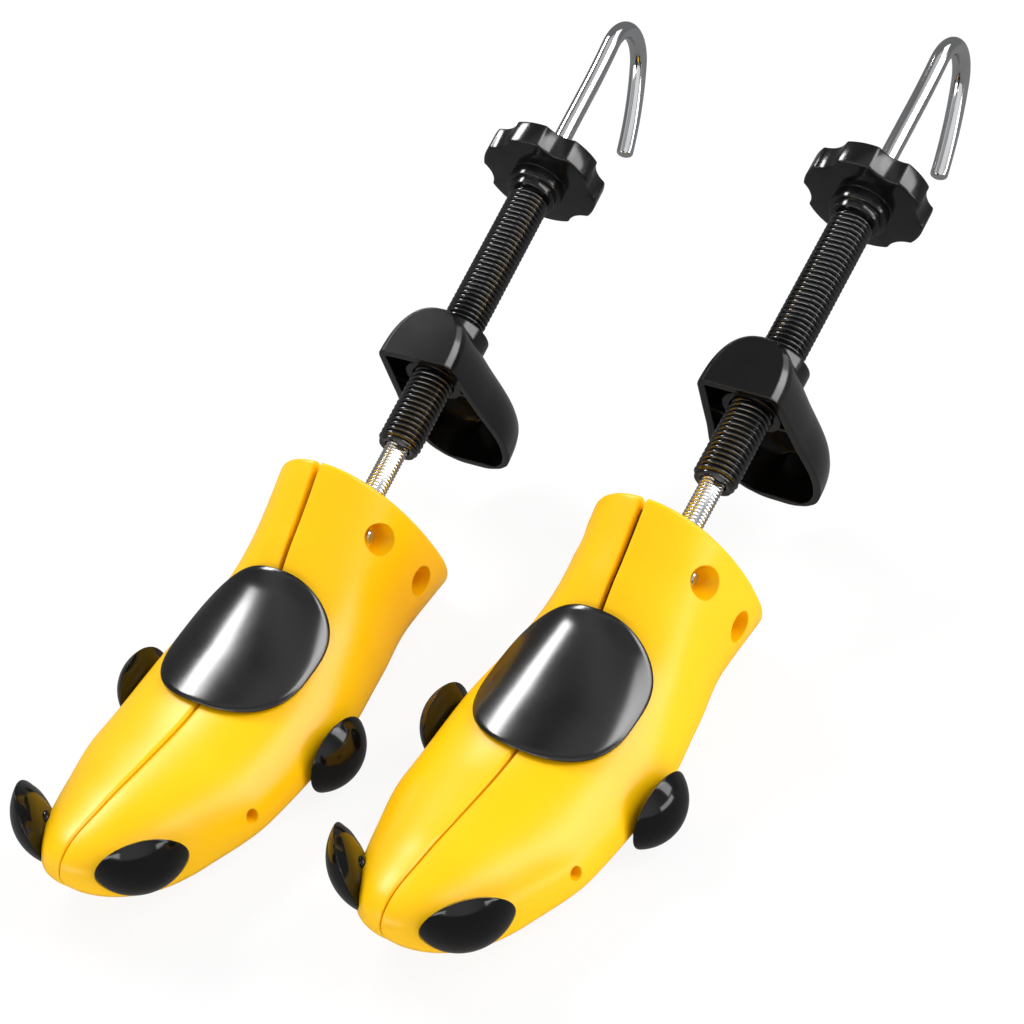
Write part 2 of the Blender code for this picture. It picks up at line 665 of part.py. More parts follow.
def heel_block():
    """D-shaped cup: a loft of D plans along the height, hollowed from the front, with boss, ribs and bore."""

    def plan(height, half, inset, forward):
        ring = []
        for depth, share in zip(BLOCK_DEPTH_SHARES, BLOCK_PLAN_SHARES):
            y = BLOCK_FRONT - forward if depth == 0 else BLOCK_FRONT + (BLOCK_DEPTH - inset) * depth
            ring.append(((half - inset) * share, y, height))
        left = [(-x, y, z) for x, y, z in ring[:-1]]
        return ring + left[::-1]

    outer = grid_solid("block", [plan(h, w, 0, 0) for h, w in zip(BLOCK_HEIGHTS, BLOCK_HALF_WIDTHS)], cutters)
    lowest = BLOCK_HEIGHTS[0] + BLOCK_WALL
    highest = BLOCK_HEIGHTS[-1] - BLOCK_WALL
    inner_rows = []
    for height, width in zip(BLOCK_HEIGHTS, BLOCK_HALF_WIDTHS):
        inner_rows.append(plan(min(max(height, lowest), highest), width, BLOCK_WALL, BLOCK_WALL))
    inner_rows = inner_rows[:1] + inner_rows[2:]
    core = grid_solid("core", inner_rows, cutters)
    rib_depth = BLOCK_FRONT + BLOCK_DEPTH * BLOCK_RIB_DEPTH_SHARE
    ribs = box(
        "rib",
        (-BLOCK_HALF_WIDTHS[4], BLOCK_FRONT + BLOCK_BOSS_FRONT * 2, -BLOCK_RIB_DROP - BLOCK_RIB),
        (BLOCK_HALF_WIDTHS[4], rib_depth, -BLOCK_RIB_DROP),
    )
    upright = box(
        "upright",
        (-BLOCK_RIB / 2, BLOCK_FRONT + BLOCK_BOSS_FRONT * 2, 0),
        (BLOCK_RIB / 2, rib_depth, BLOCK_HEIGHTS[-1] - BLOCK_WALL / 2),
    )
    front = (0, BLOCK_FRONT + BLOCK_BOSS_FRONT, 0)
    boss = cylinder("boss", BLOCK_BOSS_RADIUS, front, (0, BLOCK_FRONT + BLOCK_DEPTH, 0), 24)
    root_rows = [plan(h, w, BLOCK_WALL * ROOT_SHARE, 0) for h, w in zip(BLOCK_HEIGHTS, BLOCK_HALF_WIDTHS)]
    inside = keep_common(join(join(ribs, upright), boss), grid_solid("root", root_rows, cutters))
    cup = join(cut(outer, core), inside)
    rear = (0, BLOCK_FRONT + BLOCK_DEPTH + BLOCK_REAR_BOSS_LENGTH, 0)
    middle = (0, BLOCK_FRONT + BLOCK_DEPTH / 2, 0)
    cup = join(cup, cylinder("rear_boss", BLOCK_REAR_BOSS_RADIUS, middle, rear, 24))
    way_start = (0, BLOCK_FRONT - BLOCK_WALL, 0)
    way_end = (0, rear[1] + BLOCK_WALL, 0)
    return cut(cup, cylinder("way", TUBE_RADIUS + FIT_GAP, way_start, way_end, 28))


def length_tube():
    """Hollow tube with an outside thread and a plain tail for the wheel; the bore steps down at the tail."""
    tube = threaded_bar(
        "tube", TUBE_RADIUS, TUBE_THREAD_DEPTH, TUBE_PITCH, TUBE_THREAD_LENGTH, TUBE_SEGMENTS, TUBE_FRONT
    )
    rear = TUBE_FRONT + TUBE_THREAD_LENGTH
    end = rear + TUBE_TAIL_LENGTH
    tube = join(tube, cylinder("tail", TUBE_TAIL_RADIUS, (0, rear - TUBE_PITCH, 0), (0, end, 0), 18))
    step = ROD_SHOULDER + FIT_GAP
    tube = cut(tube, cylinder("bore", TUBE_BORE_RADIUS, (0, TUBE_FRONT - WALL, 0), (0, step, 0), 18))
    return cut(tube, cylinder("tail_bore", TUBE_TAIL_BORE_RADIUS, (0, 0, 0), (0, end + WALL, 0), 18))


def hand_wheel():
    """Scalloped wheel on a stepped hub, bored for the tube's tail and, behind it, for the washer."""
    hub_front = TUBE_FRONT + TUBE_THREAD_LENGTH
    ring_front = hub_front + COLLAR_LENGTH
    wheel_front = ring_front + HUB_RING_LENGTH
    wheel_rear = wheel_front + WHEEL_THICKNESS
    scallop = WHEEL_RADIUS * WHEEL_SCALLOP_RADIUS_SHARE
    centre = WHEEL_RADIUS * WHEEL_SCALLOP_CENTRE_SHARE
    spread = (WHEEL_RADIUS**2 + centre**2 - scallop**2) / 2
    half_scallop = math.acos(spread / (WHEEL_RADIUS * centre))
    half_pitch = math.pi / WHEEL_LOBES
    half_sweep = math.asin(WHEEL_RADIUS * math.sin(half_scallop) / scallop)
    outline = []
    for n in range(WHEEL_LOBES):
        middle = half_pitch * (2 * n + 1)
        for k in range(WHEEL_ARC_POINTS):
            turn = middle + (half_pitch - half_scallop) * (2 * k / (WHEEL_ARC_POINTS - 1) - 1)
            outline.append((WHEEL_RADIUS * math.cos(turn), WHEEL_RADIUS * math.sin(turn)))
        hollow = middle + half_pitch
        for k in range(1, WHEEL_ARC_POINTS):
            back = hollow + math.pi + half_sweep * (1 - 2 * k / WHEEL_ARC_POINTS)
            x = centre * math.cos(hollow) + scallop * math.cos(back)
            z = centre * math.sin(hollow) + scallop * math.sin(back)
            outline.append((x, z))
    rows = []
    for y, edge in (
        (wheel_front, WHEEL_EDGE),
        (wheel_front + WHEEL_EDGE, 0),
        (wheel_rear - WHEEL_EDGE, 0),
        (wheel_rear, WHEEL_EDGE),
    ):
        shrink = 1 - edge / WHEEL_RADIUS
        rows.append([(x * shrink, y, z * shrink) for x, z in outline])
    wheel = grid_solid("wheel", rows, cutters)
    hub_profile = [
        (0, hub_front),
        (COLLAR_RADIUS, hub_front),
        (COLLAR_RADIUS, ring_front),
        (HUB_RING_RADIUS, ring_front),
        (HUB_RING_RADIUS, wheel_front + WHEEL_EDGE),
        (0, wheel_front + WHEEL_EDGE),
    ]
    wheel = join(wheel, turned("hub", hub_profile[::-1], HUB_SEGMENTS))
    seat_end = hub_front + TUBE_TAIL_LENGTH + FIT_GAP
    start = (0, hub_front - WHEEL_EDGE, 0)
    wheel = cut(wheel, cylinder("seat", TUBE_TAIL_RADIUS + FIT_GAP, start, (0, seat_end, 0), 18))
    behind = (0, wheel_rear + WHEEL_EDGE, 0)
    wheel = cut(wheel, cylinder("way", SHANK_RADIUS + FIT_GAP, start, behind, 18))
    washer_seat = (0, wheel_rear - WASHER_THICKNESS, 0)
    return cut(wheel, cylinder("washer_seat", WASHER_RADIUS + FIT_GAP, washer_seat, behind, 20))


def spreader_rod():
    """Screw in one piece: neck, M8 thread with a milled flat, plain shank and bent hook."""
    length = ROD_SHOULDER - ROD_THREAD_FRONT
    rod = threaded_bar("rod", ROD_RADIUS, ROD_THREAD_DEPTH, ROD_PITCH, length, ROD_SEGMENTS, ROD_THREAD_FRONT)
    flat_low = (-ROD_RADIUS * 2, ROD_THREAD_FRONT + ROD_PITCH, ROD_FLAT_HEIGHT)
    flat_high = (ROD_RADIUS * 2, ROD_SHOULDER - ROD_PITCH, ROD_RADIUS * 2)
    flat = move(box("flat", flat_low, flat_high), Matrix.Rotation(math.radians(ROD_FLAT_TURN_DEG), 4, "Y"))
    rod = cut(rod, flat)
    collar_start = (0, ROD_COLLAR_FRONT, 0)
    thread_start = (0, ROD_THREAD_FRONT + ROD_PITCH / 2, 0)
    rod = join(rod, cylinder("collar", ROD_COLLAR_RADIUS, collar_start, thread_start, 12))
    neck_start = (0, ROD_COLLAR_FRONT - ROD_NECK_LENGTH, 0)
    rod = join(rod, cylinder("neck", ROD_NECK_RADIUS, neck_start, (0, ROD_COLLAR_FRONT + ROD_PITCH, 0), 12))
    path = [(0, ROD_SHOULDER - ROD_PITCH, 0), (0, HOOK_START, 0)]
    along = HOOK_START
    rise = 0
    heading = 0
    for radius, turn_deg, steps in HOOK_ARCS:
        step = math.radians(turn_deg) / steps
        for _ in range(steps):
            chord = 2 * radius * math.sin(abs(step) / 2)
            along += chord * math.cos(heading + step / 2)
            rise -= chord * math.sin(heading + step / 2)
            heading += step
            path.append((0, along, rise))
    return join(rod, swept_bar("hook", path, SHANK_RADIUS, SHANK_SEGMENTS))


def nut_bracket():
    """Block that holds the square nut in a pocket and the two guide pins behind it."""
    low = (-BRACKET_HALF_WIDTH, BRACKET_FRONT, BRACKET_BOTTOM)
    made = box("bracket", low, (BRACKET_HALF_WIDTH, BRACKET_REAR, BRACKET_TOP))
    side = NUT_HALF_SIDE + FIT_GAP
    seat_rear = BRACKET_FRONT + NUT_WALL + NUT_DEPTH + FIT_GAP * 2
    seat = box("seat", (-side, BRACKET_FRONT + NUT_WALL, -side), (BRACKET_HALF_WIDTH * 2, seat_rear, side))
    made = cut(made, seat)
    start = (0, BRACKET_FRONT - NUT_WALL, 0)
    made = cut(made, cylinder("way", NUT_BORE_RADIUS, start, (0, BRACKET_REAR + NUT_WALL, 0), 16))
    for height in (GUIDE_PIN_UPPER_OFFSET, GUIDE_PIN_LOWER_OFFSET):
        start = (-BRACKET_HALF_WIDTH * 2, GUIDE_PIN_Y, height)
        end = (BRACKET_HALF_WIDTH * 2, GUIDE_PIN_Y, height)
        made = cut(made, cylinder("pin_way", GUIDE_PIN_RADIUS + FIT_GAP, start, end, 10))
    return made


def square_nut():
    front = BRACKET_FRONT + NUT_WALL + FIT_GAP
    low = (-NUT_HALF_SIDE, front, -NUT_HALF_SIDE)
    made = box("nut", low, (NUT_HALF_SIDE, front + NUT_DEPTH, NUT_HALF_SIDE))
    rear = front + NUT_DEPTH
    return cut(made, cylinder("way", NUT_BORE_RADIUS, (0, front - WALL, 0), (0, rear + WALL, 0), 16))


def spreader_plate():
    """Plate with two slanted slots under a bored hub; as it goes forward the slots part the followers."""
    travel = SPREAD_TRAVEL / SLOT_SLOPE
    reach = FOLLOWER_RADIUS + FIT_GAP
    front = FOLLOWER_Y - reach - PLATE_FRONT_MARGIN
    rear = FOLLOWER_Y + travel + reach + PLATE_REAR_MARGIN
    wide_front = FOLLOWER_X + reach + PLATE_SIDE_MARGIN
    wide_rear = FOLLOWER_X + SPREAD_TRAVEL + reach + PLATE_SIDE_MARGIN
    bottom = PLATE_TOP - PLATE_THICKNESS
    outline = [(-wide_front, front), (wide_front, front), (wide_rear, rear), (-wide_rear, rear)]
    rows = [[(x, y, z) for x, y in outline] for z in (bottom, PLATE_TOP)]
    made = grid_solid("plate", rows, cutters)
    over = PLATE_THICKNESS
    slant = Vector((SPREAD_TRAVEL, travel, 0))
    across = Vector((-slant[1], slant[0], 0)).normalized() * reach
    for side in (-1, 1):
        start = Vector((FOLLOWER_X, FOLLOWER_Y, 0))
        ring = []
        for spot, way in ((start, 1), (start + slant, -1)):
            for n in range(SLOT_END_STEPS + 1):
                turn = math.pi * n / SLOT_END_STEPS
                out = across * math.cos(turn) - slant.normalized() * reach * math.sin(turn)
                ring.append(spot + way * out)
        rows = [[(side * p[0], p[1], z) for p in ring] for z in (bottom - over, PLATE_TOP + over)]
        made = cut(made, grid_solid("slot", rows, cutters))
    hub = box("hub", (-HUB_HALF_WIDTH, HUB_FRONT, bottom), (HUB_HALF_WIDTH, HUB_REAR, HUB_TOP))
    made = join(made, hub)
    way_start = (0, HUB_FRONT - WALL, 0)
    return cut(made, cylinder("way", ROD_NECK_RADIUS + FIT_GAP, way_start, (0, HUB_REAR + WALL, 0), 14))


def ring_piece(radius, bore, front, thickness):
    made = cylinder("ring", radius, (0, front, 0), (0, front + thickness, 0), 18)
    return cut(made, cylinder("bore", bore, (0, front - thickness, 0), (0, front + thickness * 2, 0), 14))


def build_tree(tree, side):
    """All pieces of one tree, set in place beside the other."""
    place = Matrix.Translation((side * TREE_SPACING / 2, side * TREE_STAGGER - PAIR_CENTRE_Y, 0))
    place = place @ Matrix.Rotation(math.radians(-side * TREE_YAW_DEG), 4, "Z")
    screw = place @ to_screw
    centre = (0, 0, 0)
    finish(forepart_half(-1), tree + "_forepart_half_left", "yellow plastic", place, centre)
    finish(forepart_half(1), tree + "_forepart_half_right", "yellow plastic", place, centre)
    finish(instep_pad(), tree + "_instep_pad", "black pad", place, centre)
    for where, spot, way, radius, dome in (
        ("toe", TOE_PLUG_PLACE, TOE_PLUG_DIRECTION, TOE_PLUG_RADIUS, TOE_PLUG_DOME),
        ("ball", BALL_PLUG_PLACE, BALL_PLUG_DIRECTION, BALL_PLUG_RADIUS, BALL_PLUG_DOME),
    ):
        for hand, name in ((-1, "left"), (1, "right")):
            middle, stem = along_stem(spot, way, hand)
            turn = Vector((0, 1, 0)).rotation_difference(stem).to_matrix().to_4x4()
            seat = place @ Matrix.Translation(middle) @ turn
            finish(plug(radius, dome), f"{tree}_{where}_plug_{name}", "black plastic", seat, centre)
    finish(heel_block(), tree + "_heel_block", "black plastic", screw, centre)
    finish(length_tube(), tree + "_length_tube", "black plastic", screw, centre)
    finish(hand_wheel(), tree + "_hand_wheel", "black plastic", screw, centre)
    finish(spreader_rod(), tree + "_spreader_rod", "chrome", screw, centre)
    finish(nut_bracket(), tree + "_nut_bracket", "zinc", screw, centre)
    finish(square_nut(), tree + "_square_nut", "bright steel", screw, centre)
    for name, height, reach in (
        ("upper", GUIDE_PIN_UPPER_OFFSET, GUIDE_PIN_UPPER_REACH),
        ("lower", GUIDE_PIN_LOWER_OFFSET, GUIDE_PIN_LOWER_REACH),
    ):
        start = (-reach, GUIDE_PIN_Y, height)
        pin = cylinder("pin", GUIDE_PIN_RADIUS, start, (reach, GUIDE_PIN_Y, height), 14)
        finish(pin, f"{tree}_guide_pin_{name}", "bright steel", screw, centre)
    finish(spreader_plate(), tree + "_spreader_plate", "zinc", screw, centre)
    top = PLATE_TOP - FIT_GAP
    for hand, name in ((-1, "left"), (1, "right")):
        low = PLATE_TOP - PLATE_THICKNESS - FOLLOWER_LENGTH / 2 - FIT_GAP
        foot = (hand * FOLLOWER_X, FOLLOWER_Y, low)
        pin = cylinder("pin", FOLLOWER_RADIUS, foot, (hand * FOLLOWER_X, FOLLOWER_Y, top), 12)
        finish(pin, f"{tree}_follower_pin_{name}", "bright steel", screw, centre)
    clip_front = HUB_FRONT - FIT_GAP - CLIP_THICKNESS
    clip = ring_piece(CLIP_RADIUS, ROD_NECK_RADIUS + FIT_GAP, clip_front, CLIP_THICKNESS)
    finish(clip, tree + "_neck_clip", "bright steel", screw, centre)
    wheel_rear = TUBE_FRONT + TUBE_THREAD_LENGTH + COLLAR_LENGTH + HUB_RING_LENGTH + WHEEL_THICKNESS
    bore = SHANK_RADIUS + FIT_GAP
    washer = ring_piece(WASHER_RADIUS, bore, wheel_rear - WASHER_THICKNESS + FIT_GAP, WASHER_THICKNESS)
    finish(washer, tree + "_wheel_washer", "bright steel", screw, centre)
    clip = ring_piece(WASHER_RADIUS - CLIP_THICKNESS, bore, wheel_rear + FIT_GAP * 2, CLIP_THICKNESS)
    finish(clip, tree + "_shank_clip", "bright steel", screw, centre)


for tree_name, tree_side in (("left", -1), ("right", 1)):
    build_tree(tree_name, tree_side)

for leftover in list(cutters.objects):
    bpy.data.objects.remove(leftover, do_unlink=True)
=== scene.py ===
"""Pair of two-way shoe trees on a pale studio floor.

Lengths are in metres. Each tree is worked out once, in two frames of its own, and set in place twice:
the last frame (toe tip at y = 0 on the seam, +Z up) and the screw frame, whose y axis runs up the screw to the hook.
"""

import math

import bmesh
import bpy
import numpy as np
from mathutils import Matrix, Quaternion, Vector


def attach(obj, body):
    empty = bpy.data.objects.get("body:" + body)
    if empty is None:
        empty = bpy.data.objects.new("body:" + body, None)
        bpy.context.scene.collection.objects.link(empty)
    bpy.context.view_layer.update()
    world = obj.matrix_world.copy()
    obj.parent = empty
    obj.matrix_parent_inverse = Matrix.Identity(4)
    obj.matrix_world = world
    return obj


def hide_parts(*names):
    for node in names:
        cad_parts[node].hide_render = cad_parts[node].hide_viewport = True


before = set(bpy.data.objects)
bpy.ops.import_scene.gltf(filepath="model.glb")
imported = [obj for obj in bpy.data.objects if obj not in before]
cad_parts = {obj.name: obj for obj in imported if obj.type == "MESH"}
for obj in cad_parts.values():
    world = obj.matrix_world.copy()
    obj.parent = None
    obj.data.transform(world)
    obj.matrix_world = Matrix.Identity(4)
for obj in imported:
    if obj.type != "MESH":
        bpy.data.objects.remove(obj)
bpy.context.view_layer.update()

# Where the two trees stand, and how the screw leans
TREE_SPACING = 0.0900
TREE_YAW_DEG = 2.2
TREE_STAGGER = 0.0133
PAIR_CENTRE_Y = 0.18446
SCREW_TILT = math.radians(24.3)
SCREW_FOOT_Z = 0.0466
FIT_GAP = 0.0003

# Forepart: widths and heights at stations along the sole, by their share of its length from the toe
SOLE_LENGTH = 0.1717
STATION_SHARES = np.array((0.0, 0.12, 0.3, 0.5, 0.7, 0.85, 1.0))
HALF_WIDTHS = np.array((0.0219, 0.0244, 0.0330, 0.0347, 0.0306, 0.0271, 0.0279))
BOTTOM_HEIGHTS = np.array((0.0055, 0.0038, 0.0010, 0.0, 0.0, 0.0, 0.0))
TOP_HEIGHTS = np.array((0.0355, 0.0313, 0.0307, 0.0351, 0.0435, 0.0565, 0.0721))
MID_HEIGHT_SHARE = 0.38
UPPER_ROUNDNESS = 2.18
LOWER_ROUNDNESS = 1.95
LEAN_START_SHARE = 0.35
LEAN_SPAN_SHARE = 0.5
NOSE_LENGTH = 0.0290
NOSE_HEIGHT = 0.0223
SOLE_UNDERCUT = 0.001
SEAM_HALF_GAP_TOE = 0.0002
SEAM_HALF_GAP_REAR = 0.0010
SEAM_EDGE_ROUND = 0.0005
REAR_EDGE_ROUND = 0.0017
WALL = 0.0026
SEAM_OVERCUT = 0.004
SIDE_REACH = 0.0436  # further out than the widest place of a half

# Distances from the seam at which the skin has points, on a half of this width, so that its round edge shows
SEAM_POINTS = np.array((0.0002, 0.0013, 0.0014, 0.00155, 0.00175, 0.0021, 0.0028))
SEAM_POINTS_HALF_WIDTH = 0.03

# Guide pins (height, reach, pocket floor), and the bosses, sockets and columns of the forepart
GUIDE_PIN_Y = -0.0315
GUIDE_PINS = {"upper": (0.0175, 0.0185, 0.0160), "lower": (-0.0072, 0.0190, 0.0200)}
GUIDE_PIN_RADIUS = 0.0022
GUIDE_PIN_CHAMFER = 0.0004
GUIDE_BOSS_RADIUS = 0.0078
GUIDE_BOSS_START = 0.0100
POCKET_RADIUS = 0.0051
SOCKET_RADIUS = 0.0050
SOCKET_LENGTH = 0.0048
SOCKET_BURIAL = 0.0012
COLUMN_RADIUS = 0.0045
COLUMN_TOP = -0.0092
FOLLOWER_X = 0.0100
FOLLOWER_Y = -0.0620
FOLLOWER_RADIUS = 0.0020
FOLLOWER_DEPTH = 0.0043

# Plugs: place and direction of the stem on the right side, radius and height of the dome
TOE_PLUG = ((0.0198, 0.0122, 0.0228), (0.71, -0.649, -0.273), 0.0131, 0.0065)
BALL_PLUG = ((0.0380, 0.0798, 0.0127), (0.99, -0.08, -0.115), 0.0125, 0.0072)
SPARE_SOCKET = ((0.0322, 0.0455, 0.0165), (0.97, -0.24, 0.0))
SPARE_RADIUS = 0.0020
PLUG_DOME_SHARE = 0.985
PLUG_RIM = 0.00032
PLUG_SEAT = 0.0030
PLUG_UNDERSIDE = ((0.85, 0.5), (0.6, 0.9), (0.4, 1.0))  # shares of the radius and of the seat's depth
PLUG_SINK = 0.0009
PLUG_STEM_RADIUS = 0.0024
PLUG_STEM_ROOT_SHARE = 1.05
PLUG_STEM_LENGTH = 0.0042
PLUG_STEM_CHAMFER = 0.0006

# Instep pad, and its tongue (half width, front, rear, depth)
PAD_REAR_Y = 0.1116
PAD_FRONT_Y = 0.0646
PAD_HALF_WIDTH = 0.0239
PAD_REAR_POWER = 3.2
PAD_FRONT_POWER = 2.4
PAD_SEAT = 0.0005
PAD_RIM = 0.0016
PAD_CROWN = 0.0026
PAD_CROWN_POWER = 2.5
TONGUE = (0.0014, 0.0780, 0.0960, 0.0080)

# Screw and hook; an arc of the hook has a radius, a turn in degrees and a number of chords
ROD_RADIUS = 0.0040
ROD_PITCH = 0.00125
ROD_DEPTH = 0.00062
ROD_CREST_SLOPE = 1.25
ROD_FRONT = -0.0440
ROD_SHOULDER = 0.0120
ROD_FLAT_HEIGHT = 0.0032
ROD_FLAT_TURN = math.radians(45)
ROD_COLLAR_RADIUS = 0.0029
ROD_COLLAR_FRONT = -0.0510
NECK_RADIUS = 0.0025
NECK_CHAMFER = 0.0003
NECK_FRONT = -0.0685
SHANK_RADIUS = 0.00325
SHANK_END_SHARE = 0.6
HOOK_START = 0.1682
HOOK_ARCS = ((0.2350, -5.2, 12), (0.0147, 133.8, 40), (0.0800, 24.0, 16))

# Tube, wheel, washer and ring
TUBE_FRONT = 0.0083
TUBE_RADIUS = 0.0075
TUBE_PITCH = 0.0019
TUBE_DEPTH = 0.0010
TUBE_CREST_POWER = 1.15
TUBE_LENGTH = 0.1085
TUBE_TAIL_RADIUS = 0.0062
TUBE_TAIL_LENGTH = 0.0130
TUBE_BORE = 0.0044
TUBE_TAIL_BORE = 0.0037
TUBE_LIP = 0.0004
WHEEL_RADIUS = 0.0218
WHEEL_THICKNESS = 0.0092
WHEEL_LOBES = 6
SCALLOP_RADIUS = 0.0101
SCALLOP_CENTRE = 0.0296
WHEEL_ROUND = 0.0007
HUB_FRONT = 0.1168
HUB_EDGE = 0.0003
HUB_FOOT = 0.0012
RING_FRONT = 0.1196
WHEEL_FRONT = 0.1242
COLLAR_RADIUS = 0.0088
HUB_RING_RADIUS = 0.0103
WASHER_RADIUS = 0.0065
WASHER_THICKNESS = 0.0012
CLIP_THICKNESS = 0.0010

# Heel block: half widths at heights up the block, straight above the shoulder
BLOCK_FRONT = 0.0338
BLOCK_DEPTH = 0.0215
BLOCK_HEIGHTS = np.array((-0.0508, -0.0493, -0.0462, -0.0407, -0.0335, -0.0080, 0.0142, 0.0175))
BLOCK_HALF_WIDTHS = np.array((0.0040, 0.0092, 0.0139, 0.0176, 0.0194, 0.0172, 0.0147, 0.0134))
BLOCK_SHOULDER = 6
BLOCK_FOOT_STEEPNESS = 2.2
BLOCK_FOOT_SHARE = 0.2
BLOCK_ROUNDNESS = 2.5
BLOCK_WALL = 0.0026
BLOCK_TOP_CHAMFER = 0.0013
BLOCK_BOSS_RADIUS = 0.0103
BLOCK_REAR_BOSS_RADIUS = 0.0112
BLOCK_REAR_BOSS_LENGTH = 0.0018
BLOCK_BOSS_FRONT = 0.0027
BLOCK_RIB = 0.0016
BLOCK_RIB_DROP = 0.0098
BLOCK_RIB_DEPTH = 0.0150
BLOCK_RIB_STATION = 5

# Finishes: the reach of a noise that roughness follows, and the strength of skin textures
PATCHES_TO_A_METRE = 55.0  # one patch in about 18 mm
NOISE_LOW = 0.3
NOISE_HIGH = 0.7
MOULDED_RELIEF = 0.35
METAL_RELIEF = 0.3

# Floor, world and camera; shares of the floor's own white, and greys of the world
FLOOR_HALF = 4.0
FLOOR_DROP = 0.0002
FLOOR_WHITE_SEEN = 0.90
FLOOR_WHITE_MIRRORED = 0.92
FLOOR_MIRRORED_DIMMING = 0.86
SKY_FRONT = (0.55, -0.78, 0.30)
SKY_BANDS = ((0.0, 0.04), (0.25, 0.85), (0.50, 0.20), (0.75, 0.55), (1.0, 1.0))
SKY_LIGHT = 0.50
LAMP_AIM = (0, 0, 0.03)
SENSOR_MM = 36.0
LENS_MM = 62.938
CAMERA_TURN = Quaternion((-0.879041, -0.336723, -0.475273))
CAMERA_SHIFT = Vector((0.01963, -0.022165, -0.614226))

to_screw = Matrix.Translation((0, SOLE_LENGTH, SCREW_FOOT_Z)) @ Matrix.Rotation(SCREW_TILT, 4, "X")
places = {}
for tree, side in (("left", -1), ("right", 1)):
    stand = Matrix.Translation((side * TREE_SPACING / 2, side * TREE_STAGGER - PAIR_CENTRE_Y, 0))
    places[tree] = stand @ Matrix.Rotation(math.radians(-side * TREE_YAW_DEG), 4, "Z")


# ---- Meshes from arrays


def grid_faces(rows, columns, close_rows=False, close_columns=False):
    """Quads between neighbouring points of a grid whose points are stored row by row."""
    r = np.arange(rows if close_rows else rows - 1)
    c = np.arange(columns if close_columns else columns - 1)
    r, c = np.meshgrid(r, c, indexing="ij")
    down = (r + 1) % rows
    right = (c + 1) % columns
    quads = np.stack([r * columns + c, r * columns + right, down * columns + right, down * columns + c], axis=-1)
    return quads.reshape(-1, 4)


def raw_mesh(name, points, faces, weld=1e-6, sliver=1e-8):
    """Object from arrays of points and faces; doubled points are merged and all faces turned outwards."""
    data = bpy.data.meshes.new(name)
    data.from_pydata(points, [], faces)
    work = bmesh.new()
    work.from_mesh(data)
    bmesh.ops.remove_doubles(work, verts=work.verts, dist=weld)
    bmesh.ops.dissolve_degenerate(work, edges=work.edges, dist=sliver)
    bmesh.ops.recalc_face_normals(work, faces=work.faces)
    work.to_mesh(data)
    work.free()
    made = bpy.data.objects.new(name, data)
    bpy.context.scene.collection.objects.link(made)
    return made


def capped_rows(name, rows):
    """Closed solid from an array of rings (rows, points, 3), with a flat cap on the first and the last ring."""
    count = rows.shape[1]
    faces = grid_faces(len(rows), count, close_columns=True).tolist()
    faces.append(list(range(count)))
    faces.append(list(range((len(rows) - 1) * count, len(rows) * count)))
    return raw_mesh(name, rows.reshape(-1, 3), faces)


def turned(profile, around):
    """Rings about the y axis: ring i has the radius and the y of the profile's point i."""
    radius, along = np.array(profile, float).T
    turn = np.linspace(0, 2 * np.pi, around, endpoint=False)
    ring = np.stack([np.cos(turn), np.zeros(around), -np.sin(turn)], axis=-1)
    return radius[:, None, None] * ring[None] + along[:, None, None] * np.array([0, 1, 0])


def turned_solid(name, profile, around=48, closed=False):
    """Turned profile as a mesh; a closed profile makes a ring, an open one starts and ends on the axis."""
    rings = turned(profile, around)
    faces = grid_faces(len(rings), around, close_rows=closed, close_columns=True)
    return raw_mesh(name, rings.reshape(-1, 3), faces.tolist())


def turn_to(way):
    """Rotation that carries the y axis, about which a profile is turned, to a direction."""
    return Vector((0, 1, 0)).rotation_difference(way).to_matrix().to_4x4()


def bar(start, end, radius, around=32):
    """Round bar between two points."""
    start = Vector(start)
    end = Vector(end)
    length = (end - start).length
    made = turned_solid("bar", [(0, 0), (radius, 0), (radius, length), (0, length)], around)
    made.data.transform(turn_to(end - start))
    made.data.transform(Matrix.Translation(start))
    return made


def block(low, high):
    """Box between two corners."""
    x, y, z = zip(low, high)
    rows = [[(x[0], end, z[0]), (x[1], end, z[0]), (x[1], end, z[1]), (x[0], end, z[1])] for end in y]
    return capped_rows("block", np.array(rows))


def combine(base, other, operation):
    """Boolean of two solids, kept on the first; the second is removed."""
    modifier = base.modifiers.new("combine", "BOOLEAN")
    modifier.operation = operation
    modifier.solver = "EXACT"
    modifier.object = other
    graph = bpy.context.evaluated_depsgraph_get()
    data = bpy.data.meshes.new_from_object(base.evaluated_get(graph))
    base.modifiers.clear()
    base.data = data
    bpy.data.objects.remove(other, do_unlink=True)
    return base


def cut(base, other):
    """First solid less the second."""
    return combine(base, other, "DIFFERENCE")


def join(base, other):
    """Both solids as one."""
    return combine(base, other, "UNION")


def cubic(knots, values, tangents, at):
    """Curve through a table: between two knots a cubic with the values and the slopes of both."""
    steps = np.diff(knots)
    place = np.clip(np.searchsorted(knots, at) - 1, 0, len(steps) - 1)
    step = steps[place]
    u = (at - knots[place]) / step
    value = (2 * u**3 - 3 * u**2 + 1) * values[place] + (3 * u**2 - 2 * u**3) * values[place + 1]
    return value + (u**3 - 2 * u**2 + u) * step * tangents[place] + (u**3 - u**2) * step * tangents[place + 1]


